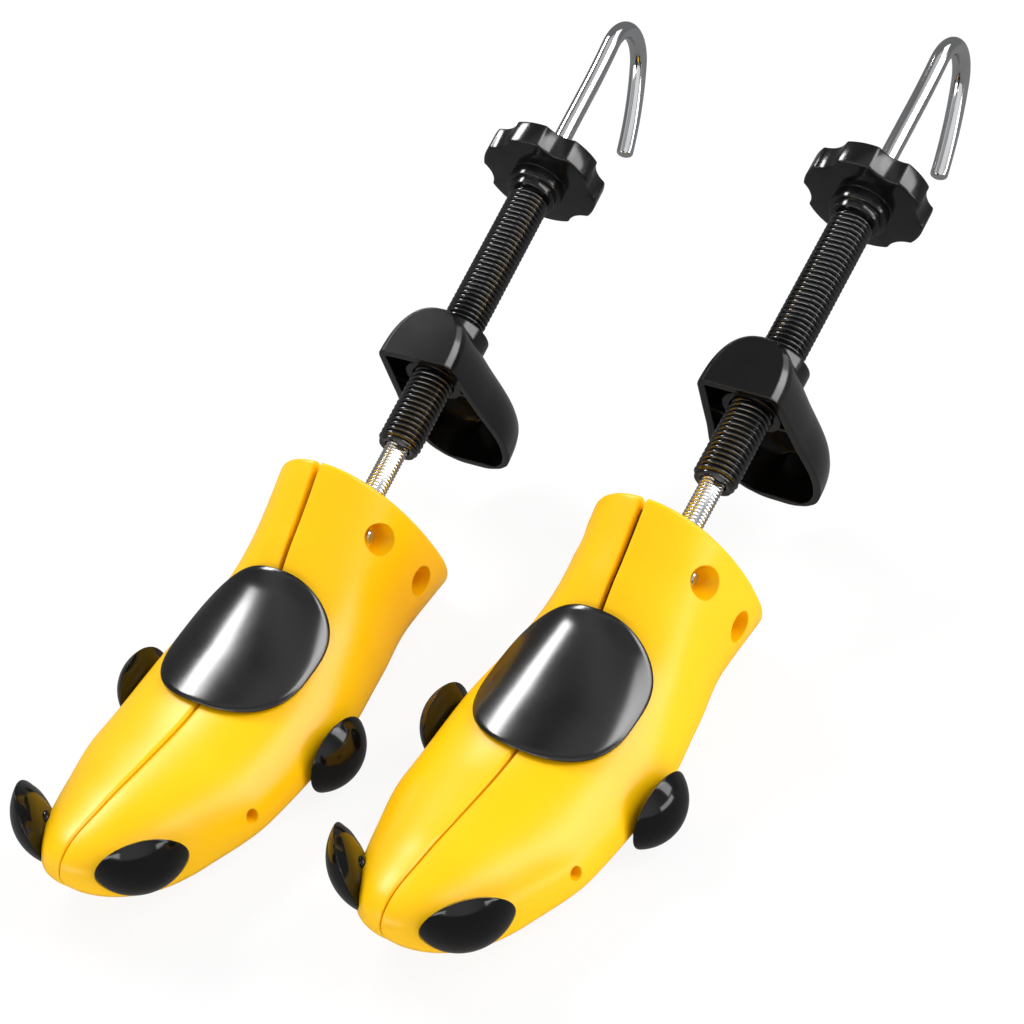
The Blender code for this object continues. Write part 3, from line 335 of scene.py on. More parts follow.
def set_in(tree, name, source, at, body, finish, mirrored=False, sharp_deg=32):
    """Copy of a drawn piece, put in place on its tree; it rides on its body and stands for its node."""
    data = source.data.copy()
    if mirrored:
        data.transform(Matrix.Diagonal((-1, 1, 1, 1)))
        data.flip_normals()
    data.transform(at)
    data.name = f"{tree}_{name}"
    data.materials.clear()
    data.materials.append(finish)
    data.polygons.foreach_set("use_smooth", np.ones(len(data.polygons), bool))
    data.set_sharp_from_angle(angle=math.radians(sharp_deg))
    piece = bpy.data.objects.new(f"{tree}_{name}_surface", data)
    bpy.context.scene.collection.objects.link(piece)
    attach(piece, f"{tree}_{body}" if body != "frame" else body)
    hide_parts(f"{tree}_{name}")


# ---- Forepart


def fair(share, values):
    """Monotone cubic through the station table: the slope at a station is the harmonic mean of the chords beside
    it, or none where they turn back, so that the line never overshoots a station."""
    slopes = np.diff(values) / np.diff(STATION_SHARES)
    product = slopes[:-1] * slopes[1:]
    total = np.where(product > 0, slopes[:-1] + slopes[1:], 1)
    between = np.where(product > 0, 2 * product / total, 0)
    return cubic(STATION_SHARES, values, np.concatenate([slopes[:1], between, slopes[-1:]]), share)


def lean(share, z):
    """y of a point: the station's place along the sole, leaned forward by the height times the screw's slope,
    from upright at the ball to the full slope at the rear face, by a smooth step."""
    u = np.clip((share - LEAN_START_SHARE) / LEAN_SPAN_SHARE, 0, 1)
    return share * SOLE_LENGTH - math.tan(SCREW_TILT) * u * u * (3 - 2 * u) * z


def section(share, angle, inset=0.0):
    """x and z of the skin: a superellipse about a middle height, flat where the sole cuts it, and drawn in to the
    toe tip by the height of a quarter circle. The angle runs from the sole seam (-90 degrees) to the top (90)."""
    y_flat = share * SOLE_LENGTH
    nose = np.sqrt(np.clip(1 - (1 - np.minimum(y_flat / NOSE_LENGTH, 1)) ** 2, 0, None))
    top = fair(share, TOP_HEIGHTS)
    middle = top * MID_HEIGHT_SHARE
    bottom = fair(share, BOTTOM_HEIGHTS)
    cosine = np.clip(np.cos(angle), 0, None)
    sine = np.sin(angle)
    over = sine >= 0
    out = np.where(over, cosine ** (2 / UPPER_ROUNDNESS), cosine ** (2 / LOWER_ROUNDNESS))
    rise = middle + (top - middle) * np.clip(sine, 0, None) ** (2 / UPPER_ROUNDNESS)
    fall = middle - (middle + SOLE_UNDERCUT - bottom) * np.clip(-sine, 0, None) ** (2 / LOWER_ROUNDNESS)
    height = np.maximum(np.where(over, rise, fall), bottom)
    x = (fair(share, HALF_WIDTHS) - inset) * out * nose
    z = NOSE_HEIGHT + (height - NOSE_HEIGHT) * nose
    centre = np.where(y_flat < NOSE_LENGTH, NOSE_HEIGHT, middle)
    reach = np.minimum(inset, np.maximum(np.abs(z - centre), inset))
    return x, z - np.where(z >= centre, 1, -1) * reach * np.abs(sine) ** 0.5, centre


def outer_half(toe_rows=34, body_rows=84, side_points=34, round_steps=8):
    """Outside of the right half: sections from toe to rear, rounded by quarter circles at the seam and at the rear."""
    toe = NOSE_LENGTH / SOLE_LENGTH * (1 - np.cos(np.linspace(0, np.pi / 2, toe_rows)))
    body = np.linspace(toe[-1], 1 - REAR_EDGE_ROUND / SOLE_LENGTH, body_rows)[1:]
    quarter = np.linspace(0, np.pi / 2, round_steps)[1:]
    share = np.concatenate([toe, body, 1 - REAR_EDGE_ROUND * (1 - np.sin(quarter)) / SOLE_LENGTH])
    inset = np.concatenate([np.zeros(len(toe) + len(body)), REAR_EDGE_ROUND * (1 - np.cos(quarter))])
    near_seam = np.arccos((SEAM_POINTS / SEAM_POINTS_HALF_WIDTH) ** (UPPER_ROUNDNESS / 2))
    upper = np.concatenate([np.linspace(0, near_seam[-1], side_points)[:-1], near_seam[::-1], [np.pi / 2]])
    angle = np.concatenate([-upper[::-1], upper[1:]])
    share, angle = np.meshgrid(share, angle, indexing="ij")
    inset = np.repeat(inset[:, None], share.shape[1], axis=1)
    x, z, centre = section(share, angle, inset)
    seam = SEAM_HALF_GAP_TOE + (SEAM_HALF_GAP_REAR - SEAM_HALF_GAP_TOE) * share
    x = np.maximum(x, seam)
    short = SEAM_EDGE_ROUND - np.clip(x - seam, 0, SEAM_EDGE_ROUND)
    sink = SEAM_EDGE_ROUND - np.sqrt(SEAM_EDGE_ROUND**2 - short**2)
    z = z - np.where(z >= centre, 1, -1) * np.minimum(sink, np.abs(z - centre) / 2)
    return capped_rows("outer", np.stack([x, lean(share, z), z], axis=-1))


def inner_half(toe_end=0.12, toe_rows=7, body_start=0.14, body_rows=26, points=25):
    """Hollow of the right half: the skin one wall further in, carried past the seam so that it opens there. Its
    sections are close together up to one share of the sole's length, and further apart from another."""
    first = WALL / SOLE_LENGTH
    toe = first + (1 - 2 * first) * np.linspace(0, toe_end, toe_rows)
    share = np.concatenate([toe, np.linspace(body_start, 1 - first, body_rows)])
    share, angle = np.meshgrid(share, np.linspace(-np.pi / 2, np.pi / 2, points), indexing="ij")
    x, z, _ = section(share, angle, WALL)
    return capped_rows("inner", np.stack([x - SEAM_OVERCUT, lean(share, z), z], axis=-1))


def forepart_half():
    """Right half: the outside, less the hollow with its bosses and sockets left standing, less pockets and bores.
    The toe plug's stem lies almost along the skin and ends within its socket, so no bore is cut for it."""
    hollow = inner_half()
    for height, _, _ in GUIDE_PINS.values():
        start, end = (to_screw @ Vector((x, GUIDE_PIN_Y, height)) for x in (GUIDE_BOSS_START, SIDE_REACH))
        hollow = cut(hollow, bar(start, end, GUIDE_BOSS_RADIUS))
    stems = (TOE_PLUG[:2], BALL_PLUG[:2], SPARE_SOCKET)
    sockets = [(Vector(place), Vector(way).normalized()) for place, way in stems]
    for centre, way in sockets:
        foot = centre - way * (SOCKET_LENGTH + SOCKET_BURIAL)
        hollow = cut(hollow, bar(foot, centre + way * SOCKET_LENGTH, SOCKET_RADIUS, around=24))
    top = to_screw @ Vector((FOLLOWER_X, FOLLOWER_Y, COLUMN_TOP))
    foot = to_screw @ Vector((FOLLOWER_X, FOLLOWER_Y, -SCREW_FOOT_Z))
    hollow = cut(hollow, bar(top, foot, COLUMN_RADIUS, around=24))
    shell = cut(outer_half(), hollow)
    for height, _, depth in GUIDE_PINS.values():
        middle, start, end = (to_screw @ Vector((x, GUIDE_PIN_Y, height)) for x in (0, depth, SIDE_REACH))
        pocket = bar(start, end, POCKET_RADIUS, around=56)
        shell = cut(shell, join(pocket, bar(middle, end, GUIDE_PIN_RADIUS + FIT_GAP)))
    for (centre, way), radius in zip(sockets[1:], (PLUG_STEM_RADIUS + FIT_GAP, SPARE_RADIUS)):
        shell = cut(shell, bar(centre - way * SOCKET_LENGTH, centre + way * SOCKET_LENGTH, radius))
    seat = to_screw @ Vector((FOLLOWER_X, FOLLOWER_Y, COLUMN_TOP - FOLLOWER_DEPTH))
    shell = cut(shell, bar(seat, to_screw @ Vector((FOLLOWER_X, FOLLOWER_Y, 0)), FOLLOWER_RADIUS + FIT_GAP))
    front, rear = (to_screw @ Vector((0, y, 0)) for y in (ROD_FRONT, TUBE_FRONT))
    shell = cut(shell, bar(front, rear, ROD_RADIUS + 2 * FIT_GAP, around=40))
    side, front, rear, _ = TONGUE
    room = 2 * FIT_GAP
    low = (-side - room, front - room, SCREW_FOOT_Z / 2)
    return cut(shell, block(low, (side + room, rear + room, SCREW_FOOT_Z)))


# ---- Instep pad and plugs


def skin_height(x, y, first_guess=0.04, rounds=30, ease=0.9):
    """Height of the skin over points of the sole plane: the section's share and angle are found by repeating
    share = (y + lean) / length and angle = arccos((x / half width) to the roundness / 2) until both settle."""
    share = y / SOLE_LENGTH
    z = np.full_like(x, first_guess)
    for _ in range(rounds):
        share = share + (y - lean(share, z)) / SOLE_LENGTH * ease
        out = np.clip(np.abs(x) / fair(share, HALF_WIDTHS), 0, 1)
        angle = np.arccos(out ** (UPPER_ROUNDNESS / 2))
        z = section(share, angle)[1]
    return z


def instep_pad(around=128, top_rings=24, top_steps=10, under_rings=12, under_steps=8, step=0.0004):
    """Saddle over the skin. Rings of a superellipse in plan run from the crown to the rim and back underneath; each
    point is lifted along the skin's normal, on top by the seat gap and the thickness, which is round at the rim and
    grows to the crown, and underneath by the seat gap alone. The normal is read off the skin one step to each side."""
    turn = np.linspace(0, 2 * np.pi, around, endpoint=False)
    power = np.where(np.sin(turn) > 0, PAD_REAR_POWER, PAD_FRONT_POWER)
    across = np.sign(np.cos(turn)) * np.abs(np.cos(turn)) ** (2 / power) * PAD_HALF_WIDTH
    along = np.sign(np.sin(turn)) * np.abs(np.sin(turn)) ** (2 / power) * (PAD_REAR_Y - PAD_FRONT_Y) / 2
    edge = PAD_RIM / PAD_HALF_WIDTH
    bend = np.linspace(0, np.pi / 2, top_steps)[1:]
    top_ring = np.concatenate([np.linspace(0.0, 1 - edge, top_rings), 1 - edge * (1 - np.sin(bend))])
    crown = PAD_RIM + (PAD_CROWN - PAD_RIM) * (1 - np.clip(top_ring, 0, 1) ** PAD_CROWN_POWER)
    top_lift = crown * np.concatenate([np.ones(top_rings), np.cos(bend) * 0.5 + 0.5])
    bend = np.linspace(np.pi / 2, 0, under_steps)[1:]
    under_ring = np.concatenate([1 - edge * (1 - np.sin(bend)), np.linspace(1 - edge, 0.0, under_rings)[1:]])
    under_lift = PAD_RIM * 0.5 * np.concatenate([1 - np.cos(bend), np.zeros(under_rings - 1)])
    ring = np.concatenate([top_ring, under_ring])
    lift = PAD_SEAT + np.concatenate([top_lift, under_lift])
    x = ring[:, None] * across[None]
    y = (PAD_REAR_Y + PAD_FRONT_Y) / 2 + ring[:, None] * along[None]
    z = skin_height(x, y)
    slope_x = (skin_height(x + step, y) - skin_height(x - step, y)) / (2 * step)
    slope_y = (skin_height(x, y + step) - skin_height(x, y - step)) / (2 * step)
    normal = np.stack([-slope_x, -slope_y, np.ones_like(x)], axis=-1)
    normal /= np.linalg.norm(normal, axis=-1, keepdims=True)
    points = np.stack([x, y, z], axis=-1) + normal * lift[:, None, None]
    pad = raw_mesh("pad", points.reshape(-1, 3), grid_faces(len(ring), len(turn), close_columns=True).tolist())
    side, front, rear, depth = TONGUE
    rows = []
    for y, z in zip((front, rear), skin_height(np.zeros(2), np.array((front, rear)))):
        high = z + PAD_SEAT * 2
        rows.append([(-side, y, z - depth), (side, y, z - depth), (side, y, high), (-side, y, high)])
    return join(pad, capped_rows("tongue", np.array(rows)))


def plug(radius, dome, dome_rings=26, around=96):
    """Cap of a sphere over the rim plane at y = 0, rounded at the rim. Underneath, a shallow cone runs from the rim
    to the round stem, as deep as the skin that it lies on is curved."""
    sphere = (radius**2 + dome**2) / (2 * dome)
    turn = np.linspace(0, math.asin(radius / sphere) * PLUG_DOME_SHARE, dome_rings)
    profile = np.stack([sphere * np.sin(turn), sphere * np.cos(turn) - (sphere - dome)], axis=-1).tolist()
    profile += [(radius, -PLUG_RIM * 0.5), (radius - PLUG_RIM, -PLUG_RIM)]
    profile += [(radius * out, -PLUG_SEAT * deep) for out, deep in PLUG_UNDERSIDE]
    profile.append((PLUG_STEM_RADIUS, -PLUG_SEAT * PLUG_STEM_ROOT_SHARE))
    profile.append((PLUG_STEM_RADIUS, PLUG_STEM_CHAMFER - PLUG_STEM_LENGTH))
    profile += [(PLUG_STEM_RADIUS - PLUG_STEM_CHAMFER, -PLUG_STEM_LENGTH), (0, -PLUG_STEM_LENGTH)]
    return turned_solid("plug", profile, around)


# ---- Pieces on the screw


def thread_points(crest, depth, pitch, front, length, around, across, ridge):
    """Right-hand thread as one long strip. At turn a and phase s (0 to 1 across one pitch) the point lies at
    front + pitch * (a / full turn + s), at root + depth * ridge(s); both ends fade to the root over one pitch."""
    turns = math.ceil(length / pitch) + 1
    turn = np.linspace(-2 * np.pi, 2 * np.pi * (turns - 1), around * turns + 1)
    turn, phase = np.meshgrid(turn, np.linspace(0, 1, across + 1), indexing="ij")
    along = np.clip(pitch * (turn / (2 * np.pi) + phase), 0, length)
    fade = np.clip(np.minimum(along, length - along) / pitch, 0, 1)
    radius = crest - depth + depth * ridge(phase) * fade
    points = np.stack([radius * np.cos(turn), front + along, -radius * np.sin(turn)], axis=-1)
    return points.reshape(-1, 3), grid_faces(*turn.shape)


def stacked(*parts):
    """One point array and one face list from several (points, faces) pairs."""
    points = []
    faces = []
    total = 0
    for part_points, part_faces in parts:
        points.append(part_points)
        faces += (part_faces + total).tolist()
        total += len(part_points)
    return np.concatenate(points), faces


def rings(profile, around):
    """Turned profile as a (points, faces) pair."""
    made = turned(profile, around)
    return made.reshape(-1, 3), grid_faces(len(made), around, close_columns=True)


def round_crest(phase):
    """Ridge of the tube's thread: a power of a sine."""
    return np.sin(np.pi * phase) ** TUBE_CREST_POWER


def cut_triangle(phase):
    """Ridge of the screw's thread: a triangle with its top cut off."""
    return np.clip(ROD_CREST_SLOPE * (1 - np.abs(2 * phase - 1)), 0, 1)


def length_tube(around=48, across=9):
    """Round-crested thread, and a plain tail and a bore that close it into one tube."""
    rear = TUBE_FRONT + TUBE_LENGTH
    end = rear + TUBE_TAIL_LENGTH
    root = TUBE_RADIUS - TUBE_DEPTH
    step = ROD_SHOULDER + FIT_GAP
    size = (TUBE_RADIUS, TUBE_DEPTH, TUBE_PITCH, TUBE_FRONT, TUBE_LENGTH)
    thread = thread_points(*size, around, across, round_crest)
    rest = [(root, rear), (TUBE_TAIL_RADIUS, rear), (TUBE_TAIL_RADIUS, end), (TUBE_TAIL_BORE, end)]
    rest += [(TUBE_TAIL_BORE, step), (TUBE_BORE, step), (TUBE_BORE, TUBE_FRONT + TUBE_LIP)]
    rest += [(TUBE_BORE + TUBE_LIP, TUBE_FRONT), (root, TUBE_FRONT)]
    return raw_mesh("tube", *stacked(thread, rings(rest, around)))


def hook_path():
    """Middle line of the shank in the screw frame: straight, then three arcs one after the other, by chords whose
    heading turns by one step each."""
    steps = np.concatenate([np.full(count, math.radians(turn) / count) for _, turn, count in HOOK_ARCS])
    radii = np.concatenate([np.full(count, radius) for radius, _, count in HOOK_ARCS])
    chords = 2 * radii * np.sin(np.abs(steps) / 2)
    middle = np.cumsum(steps) - steps / 2
    along = HOOK_START + np.concatenate([[0], np.cumsum(chords * np.cos(middle))])
    rise = -np.concatenate([[0], np.cumsum(chords * np.sin(middle))])
    heading = np.concatenate([[0], np.cumsum(steps)])
    start = np.array([ROD_SHOULDER, HOOK_START * 0.5])
    return np.concatenate([start, along]), np.concatenate([[0, 0], rise]), np.concatenate([[0, 0], heading])


def spreader_rod(around=40, across=6, cap_steps=7):
    """Neck, machine thread with a milled flat, plain shank and hook in one closed surface. The shank is a circle
    carried along the hook's path, and ends in a low dome."""
    root = ROD_RADIUS - ROD_DEPTH
    size = (ROD_RADIUS, ROD_DEPTH, ROD_PITCH, ROD_FRONT, ROD_SHOULDER - ROD_FRONT)
    points, faces = thread_points(*size, around, across, cut_triangle)
    facing = np.array([math.sin(ROD_FLAT_TURN), 0, math.cos(ROD_FLAT_TURN)])
    milled = (points[:, 1] > ROD_FRONT + ROD_PITCH) & (points[:, 1] < ROD_SHOULDER - ROD_PITCH)
    proud = np.clip(points @ facing - ROD_FLAT_HEIGHT, 0, None) * milled
    points = points - proud[:, None] * facing
    front = [(0, NECK_FRONT), (NECK_RADIUS - NECK_CHAMFER, NECK_FRONT), (NECK_RADIUS, NECK_FRONT + NECK_CHAMFER)]
    front += [(NECK_RADIUS, ROD_COLLAR_FRONT), (ROD_COLLAR_RADIUS, ROD_COLLAR_FRONT)]
    front += [(ROD_COLLAR_RADIUS, ROD_FRONT), (root, ROD_FRONT)]
    along, rise, heading = hook_path()
    turn = np.linspace(0, 2 * np.pi, around, endpoint=False)
    cap = np.linspace(0, np.pi / 2, cap_steps)[1:]
    radius = np.concatenate([[root], np.full(len(along), SHANK_RADIUS), SHANK_RADIUS * np.cos(cap)])
    bulge = SHANK_RADIUS * SHANK_END_SHARE * np.sin(cap)
    along = np.concatenate([along[:1], along, along[-1] + math.cos(heading[-1]) * bulge])
    rise = np.concatenate([rise[:1], rise, rise[-1] - math.sin(heading[-1]) * bulge])
    heading = np.concatenate([heading[:1], heading, np.full(len(cap), heading[-1])])
    x = radius[:, None] * np.cos(turn)[None]
    out = radius[:, None] * -np.sin(turn)[None]
    y = along[:, None] + out * np.sin(heading)[:, None]
    z = rise[:, None] + out * np.cos(heading)[:, None]
    sweep = np.stack([x, y, z], axis=-1)
    shank = (sweep.reshape(-1, 3), grid_faces(len(radius), around, close_columns=True))
    return raw_mesh("rod", *stacked((points, faces), rings(front, around), shank))


def wheel_outline(count=360, arc_points=60):
    """Closed outline of the lobes: arcs of the wheel's circle and scallops in turn, spread evenly along its length
    and softened by a short running mean, so that the corners are round."""
    spread = (WHEEL_RADIUS**2 + SCALLOP_CENTRE**2 - SCALLOP_RADIUS**2) / 2
    half_scallop = math.acos(spread / (WHEEL_RADIUS * SCALLOP_CENTRE))
    half_pitch = math.pi / WHEEL_LOBES
    half_sweep = math.asin(WHEEL_RADIUS * math.sin(half_scallop) / SCALLOP_RADIUS)
    share = np.linspace(0, 1, arc_points, endpoint=False)
    runs = []
    for n in range(WHEEL_LOBES):
        middle = half_pitch * (2 * n + 1)
        turn = middle + (half_pitch - half_scallop) * (2 * share - 1)
        runs.append(WHEEL_RADIUS * np.stack([np.cos(turn), np.sin(turn)], axis=-1))
        hollow = middle + half_pitch
        back = hollow + math.pi + half_sweep * (1 - 2 * share)
        centre = SCALLOP_CENTRE * np.array([math.cos(hollow), math.sin(hollow)])
        runs.append(centre + SCALLOP_RADIUS * np.stack([np.cos(back), np.sin(back)], axis=-1))
    line = np.concatenate(runs)
    loop = np.concatenate([line, line[:1]])
    length = np.concatenate([[0], np.cumsum(np.linalg.norm(np.diff(loop, axis=0), axis=-1))])
    even = np.linspace(0, length[-1], count, endpoint=False)
    line = np.stack([np.interp(even, length, loop[:, i]) for i in (0, 1)], axis=-1)
    return (line + np.roll(line, 1, axis=0) + np.roll(line, -1, axis=0)) / 3


def hand_wheel(edge_steps=6):
    """Lobed disc with rounded edges on a stepped hub. Each ring is the outline drawn in along its own normal,
    or a circle with the outline's angles; the rings go round the section and close on themselves."""
    line = wheel_outline()
    along = np.roll(line, -1, axis=0) - np.roll(line, 1, axis=0)
    normal = np.stack([along[:, 1], -along[:, 0]], axis=-1)
    normal /= np.linalg.norm(normal, axis=-1, keepdims=True)
    angle = np.arctan2(line[:, 1], line[:, 0])
    circle = np.stack([np.cos(angle), np.sin(angle)], axis=-1)
    rear = WHEEL_FRONT + WHEEL_THICKNESS
    washer_front = rear - WASHER_THICKNESS
    seat = TUBE_TAIL_RADIUS + FIT_GAP
    seat_end = HUB_FRONT + TUBE_TAIL_LENGTH + FIT_GAP
    bore = SHANK_RADIUS + FIT_GAP
    washer = WASHER_RADIUS + FIT_GAP
    soft = HUB_EDGE * 0.3
    layers = [(circle * seat, HUB_FRONT)]
    for radius, front, end in ((COLLAR_RADIUS, HUB_FRONT, RING_FRONT), (HUB_RING_RADIUS, RING_FRONT, WHEEL_FRONT)):
        layers += [(circle * (radius - HUB_EDGE), front), (circle * (radius - soft), front + soft)]
        layers += [(circle * radius, front + HUB_EDGE), (circle * radius, end)]
    layers += [(circle * (HUB_RING_RADIUS + HUB_FOOT), WHEEL_FRONT)]
    bend = np.linspace(0, np.pi / 2, edge_steps)
    drawn_in = [line - normal * WHEEL_ROUND * (1 - math.sin(turn)) for turn in bend]
    depths = [WHEEL_ROUND * (1 - math.cos(turn)) for turn in bend]
    layers += [(outline, WHEEL_FRONT + depth) for outline, depth in zip(drawn_in, depths)]
    layers += [(outline, rear - depth) for outline, depth in zip(drawn_in[::-1], depths[::-1])]
    layers += [(circle * (washer + HUB_EDGE), rear), (circle * washer, rear - HUB_EDGE)]
    layers += [(circle * washer, washer_front), (circle * bore, washer_front)]
    layers += [(circle * bore, seat_end), (circle * seat, seat_end)]
    rows = np.array([np.stack([flat[:, 0], np.full(len(flat), y), flat[:, 1]], axis=-1) for flat, y in layers])
    faces = grid_faces(len(rows), len(line), close_rows=True, close_columns=True)
    return raw_mesh("wheel", rows.reshape(-1, 3), faces.tolist())


def block_loft(heights, inset, front_inset, rows=40, columns=20, top_chamfer=0.0):
    """D-shaped plans up the height: the half width is read off the table, and each plan is half a superellipse. The
    edge of the top is chamfered at 45 degrees, which draws the last plans in. Plans lie closer by the round foot."""
    foot = (1 - np.cos(np.linspace(0, np.pi / 2, rows // 3))) * BLOCK_FOOT_SHARE
    z = heights[0] + (heights[1] - heights[0]) * np.unique(np.concatenate([foot, np.linspace(foot[-1], 1, rows)]))
    z = np.unique(np.concatenate([z, np.clip(BLOCK_HEIGHTS, *heights), [heights[1] - top_chamfer]]))
    steps = np.diff(BLOCK_HEIGHTS)
    slopes = np.diff(BLOCK_HALF_WIDTHS) / steps
    between = (slopes[:-1] * steps[1:] + slopes[1:] * steps[:-1]) / (steps[:-1] + steps[1:])
    tangents = np.concatenate([slopes[:1] * BLOCK_FOOT_STEEPNESS, between, slopes[-1:]])
    tangents[BLOCK_SHOULDER] = slopes[BLOCK_SHOULDER - 1]
    straight = np.interp(z, BLOCK_HEIGHTS, BLOCK_HALF_WIDTHS)
    curved = cubic(BLOCK_HEIGHTS, BLOCK_HALF_WIDTHS, tangents, z)
    drawn = np.clip(z - heights[1] + top_chamfer, 0, top_chamfer)
    half_width = np.where(z > BLOCK_HEIGHTS[BLOCK_SHOULDER], straight, curved) - inset - drawn
    turn = np.linspace(0, np.pi / 2, columns)
    depth = np.sin(turn) ** (2 / BLOCK_ROUNDNESS)
    width = np.cos(turn) ** (2 / BLOCK_ROUNDNESS)
    width[-1] = 0
    width = np.concatenate([width, -width[-2::-1]])
    depth = np.concatenate([depth, depth[-2::-1]])
    y = BLOCK_FRONT + (BLOCK_DEPTH - inset - drawn[:, None]) * depth[None]
    y[:, 0] -= front_inset
    y[:, -1] -= front_inset
    grid = [half_width[:, None] * width[None], y, np.repeat(z[:, None], len(width), axis=1)]
    return capped_rows("loft", np.stack(grid, axis=-1))


def heel_block(around=64):
    """Cup: the outer loft less the inner one, with ribs, boss and the way for the tube."""
    low = BLOCK_HEIGHTS[0]
    high = BLOCK_HEIGHTS[-1]
    cup = block_loft((low, high), 0, 0, rows=54, columns=26, top_chamfer=BLOCK_TOP_CHAMFER)
    cup = cut(cup, block_loft((low + BLOCK_WALL, high - BLOCK_WALL), BLOCK_WALL, BLOCK_WALL))
    rib_front = BLOCK_FRONT + 2 * BLOCK_BOSS_FRONT
    rib_rear = BLOCK_FRONT + BLOCK_RIB_DEPTH
    reach = BLOCK_HALF_WIDTHS[BLOCK_RIB_STATION] - BLOCK_WALL / 2
    ribs = block((-reach, rib_front, -BLOCK_RIB_DROP - BLOCK_RIB), (reach, rib_rear, -BLOCK_RIB_DROP))
    ribs = join(ribs, block((-BLOCK_RIB / 2, rib_front, 0), (BLOCK_RIB / 2, rib_rear, high - BLOCK_WALL / 2)))
    ribs = combine(ribs, block_loft((low, high), BLOCK_WALL / 2, 0), "INTERSECT")
    rear = BLOCK_FRONT + BLOCK_DEPTH
    boss = bar((0, BLOCK_FRONT + BLOCK_BOSS_FRONT, 0), (0, rear - BLOCK_WALL / 2, 0), BLOCK_BOSS_RADIUS, around)
    cup = join(cup, join(ribs, boss))
    boss_end = (0, rear + BLOCK_REAR_BOSS_LENGTH, 0)
    cup = join(cup, bar((0, BLOCK_FRONT + BLOCK_DEPTH / 2, 0), boss_end, BLOCK_REAR_BOSS_RADIUS, around))
    bore = bar((0, BLOCK_FRONT - BLOCK_WALL, 0), (0, rear + 2 * BLOCK_WALL, 0), TUBE_RADIUS + FIT_GAP, around)
    return cut(cup, bore)


def pin(height, reach, around=40):
    """Guide pin across the tree, chamfered at both ends."""
    line = [(0, -reach), (GUIDE_PIN_RADIUS - GUIDE_PIN_CHAMFER, -reach), (GUIDE_PIN_RADIUS, GUIDE_PIN_CHAMFER - reach)]
    line += [(radius, -along) for radius, along in line[::-1]]
    made = turned_solid("pin", line, around)
    made.data.transform(Matrix.Translation((0, GUIDE_PIN_Y, height)) @ Matrix.Rotation(math.radians(-90), 4, "Z"))
    return made


def ring_piece(radius, bore, front, thickness):
    """Flat ring with small chamfers."""
    edge = thickness * 0.2
    rear = front + thickness
    line = [(bore, front), (radius - edge, front), (radius, front + edge)]
    line += [(radius, rear - edge), (radius - edge, rear), (bore, rear)]
    return turned_solid("ring", line, closed=True)


# ---- Materials


def to_linear(code):
    """Linear colour of an sRGB hex code: a channel c is c / 12.92 up to 0.04045, else ((c + 0.055) / 1.055) ^ 2.4."""
    channels = [int(code[i : i + 2], 16) / 255 for i in (0, 2, 4)]
    return [c / 12.92 if c <= 0.04045 else ((c + 0.055) / 1.055) ** 2.4 for c in channels] + [1.0]


def add_node(tree, kind, settings=None, links=None):
    """Adds a node: settings are its properties or its inputs' values by name, links are its inputs' sources."""
    node = tree.nodes.new(kind)
    for name, value in (settings or {}).items():
        if isinstance(name, str) and hasattr(node, name):
            setattr(node, name, value)
        else:
            node.inputs[name].default_value = value
    for name, source in (links or {}).items():
        tree.links.new(source, node.inputs[name])
    return node


def new_material(name):
    """New material, with its node tree and its shader."""
    made = bpy.data.materials.new(name)
    made.use_nodes = True
    return made, made.node_tree, made.node_tree.nodes["Principled BSDF"]


def vary(tree, shader, pattern, colours, roughness):
    """Base colour and roughness that follow one pattern, each from its first value to its second."""
    ends = {"data_type": "RGBA", 6: to_linear(colours[0]), 7: to_linear(colours[1])}
    colour = add_node(tree, "ShaderNodeMix", ends, {0: pattern})
    tree.links.new(colour.outputs[2], shader.inputs["Base Color"])
    limits = {"From Min": NOISE_LOW, "From Max": NOISE_HIGH, "To Min": roughness[0], "To Max": roughness[1]}
    gloss = add_node(tree, "ShaderNodeMapRange", limits, {"Value": pattern})
    tree.links.new(gloss.outputs["Result"], shader.inputs["Roughness"])


def relief(tree, shader, pattern, strength, depth_mm, edge_mm):
    """Bump from a pattern, over edges that catch the light as a small radius does."""
    edge = add_node(tree, "ShaderNodeBevel", {"samples": 4, "Radius": edge_mm / 1000})
    size = {"Strength": strength, "Distance": depth_mm / 1000}
    bump = add_node(tree, "ShaderNodeBump", size, {"Height": pattern, "Normal": edge.outputs["Normal"]})
    tree.links.new(bump.outputs["Normal"], shader.inputs["Normal"])


def moulded(name, colours, roughness, settings, grain_mm=0.0, grain_depth_mm=0.0, edge_mm=0.0):
    """Moulded plastic: colour and roughness that drift a little over patches of about two centimetres, a fine skin
    texture, and rounded edges. Without an edge radius it has no skin texture either."""
    made, tree, shader = new_material(name)
    where = add_node(tree, "ShaderNodeTexCoord").outputs["Object"]
    patches = {"Scale": PATCHES_TO_A_METRE, "Detail": 3.0, "Roughness": 0.55}
    drift = add_node(tree, "ShaderNodeTexNoise", patches, {"Vector": where})
    vary(tree, shader, drift.outputs["Fac"], colours, roughness)
    if edge_mm > 0:
        grain = add_node(tree, "ShaderNodeTexNoise", {"Scale": 1000 / grain_mm, "Detail": 2.0}, {"Vector": where})
        relief(tree, shader, grain.outputs["Fac"], MOULDED_RELIEF, grain_depth_mm, edge_mm)
    for socket, value in settings.items():
        shader.inputs[socket].default_value = value
    return made


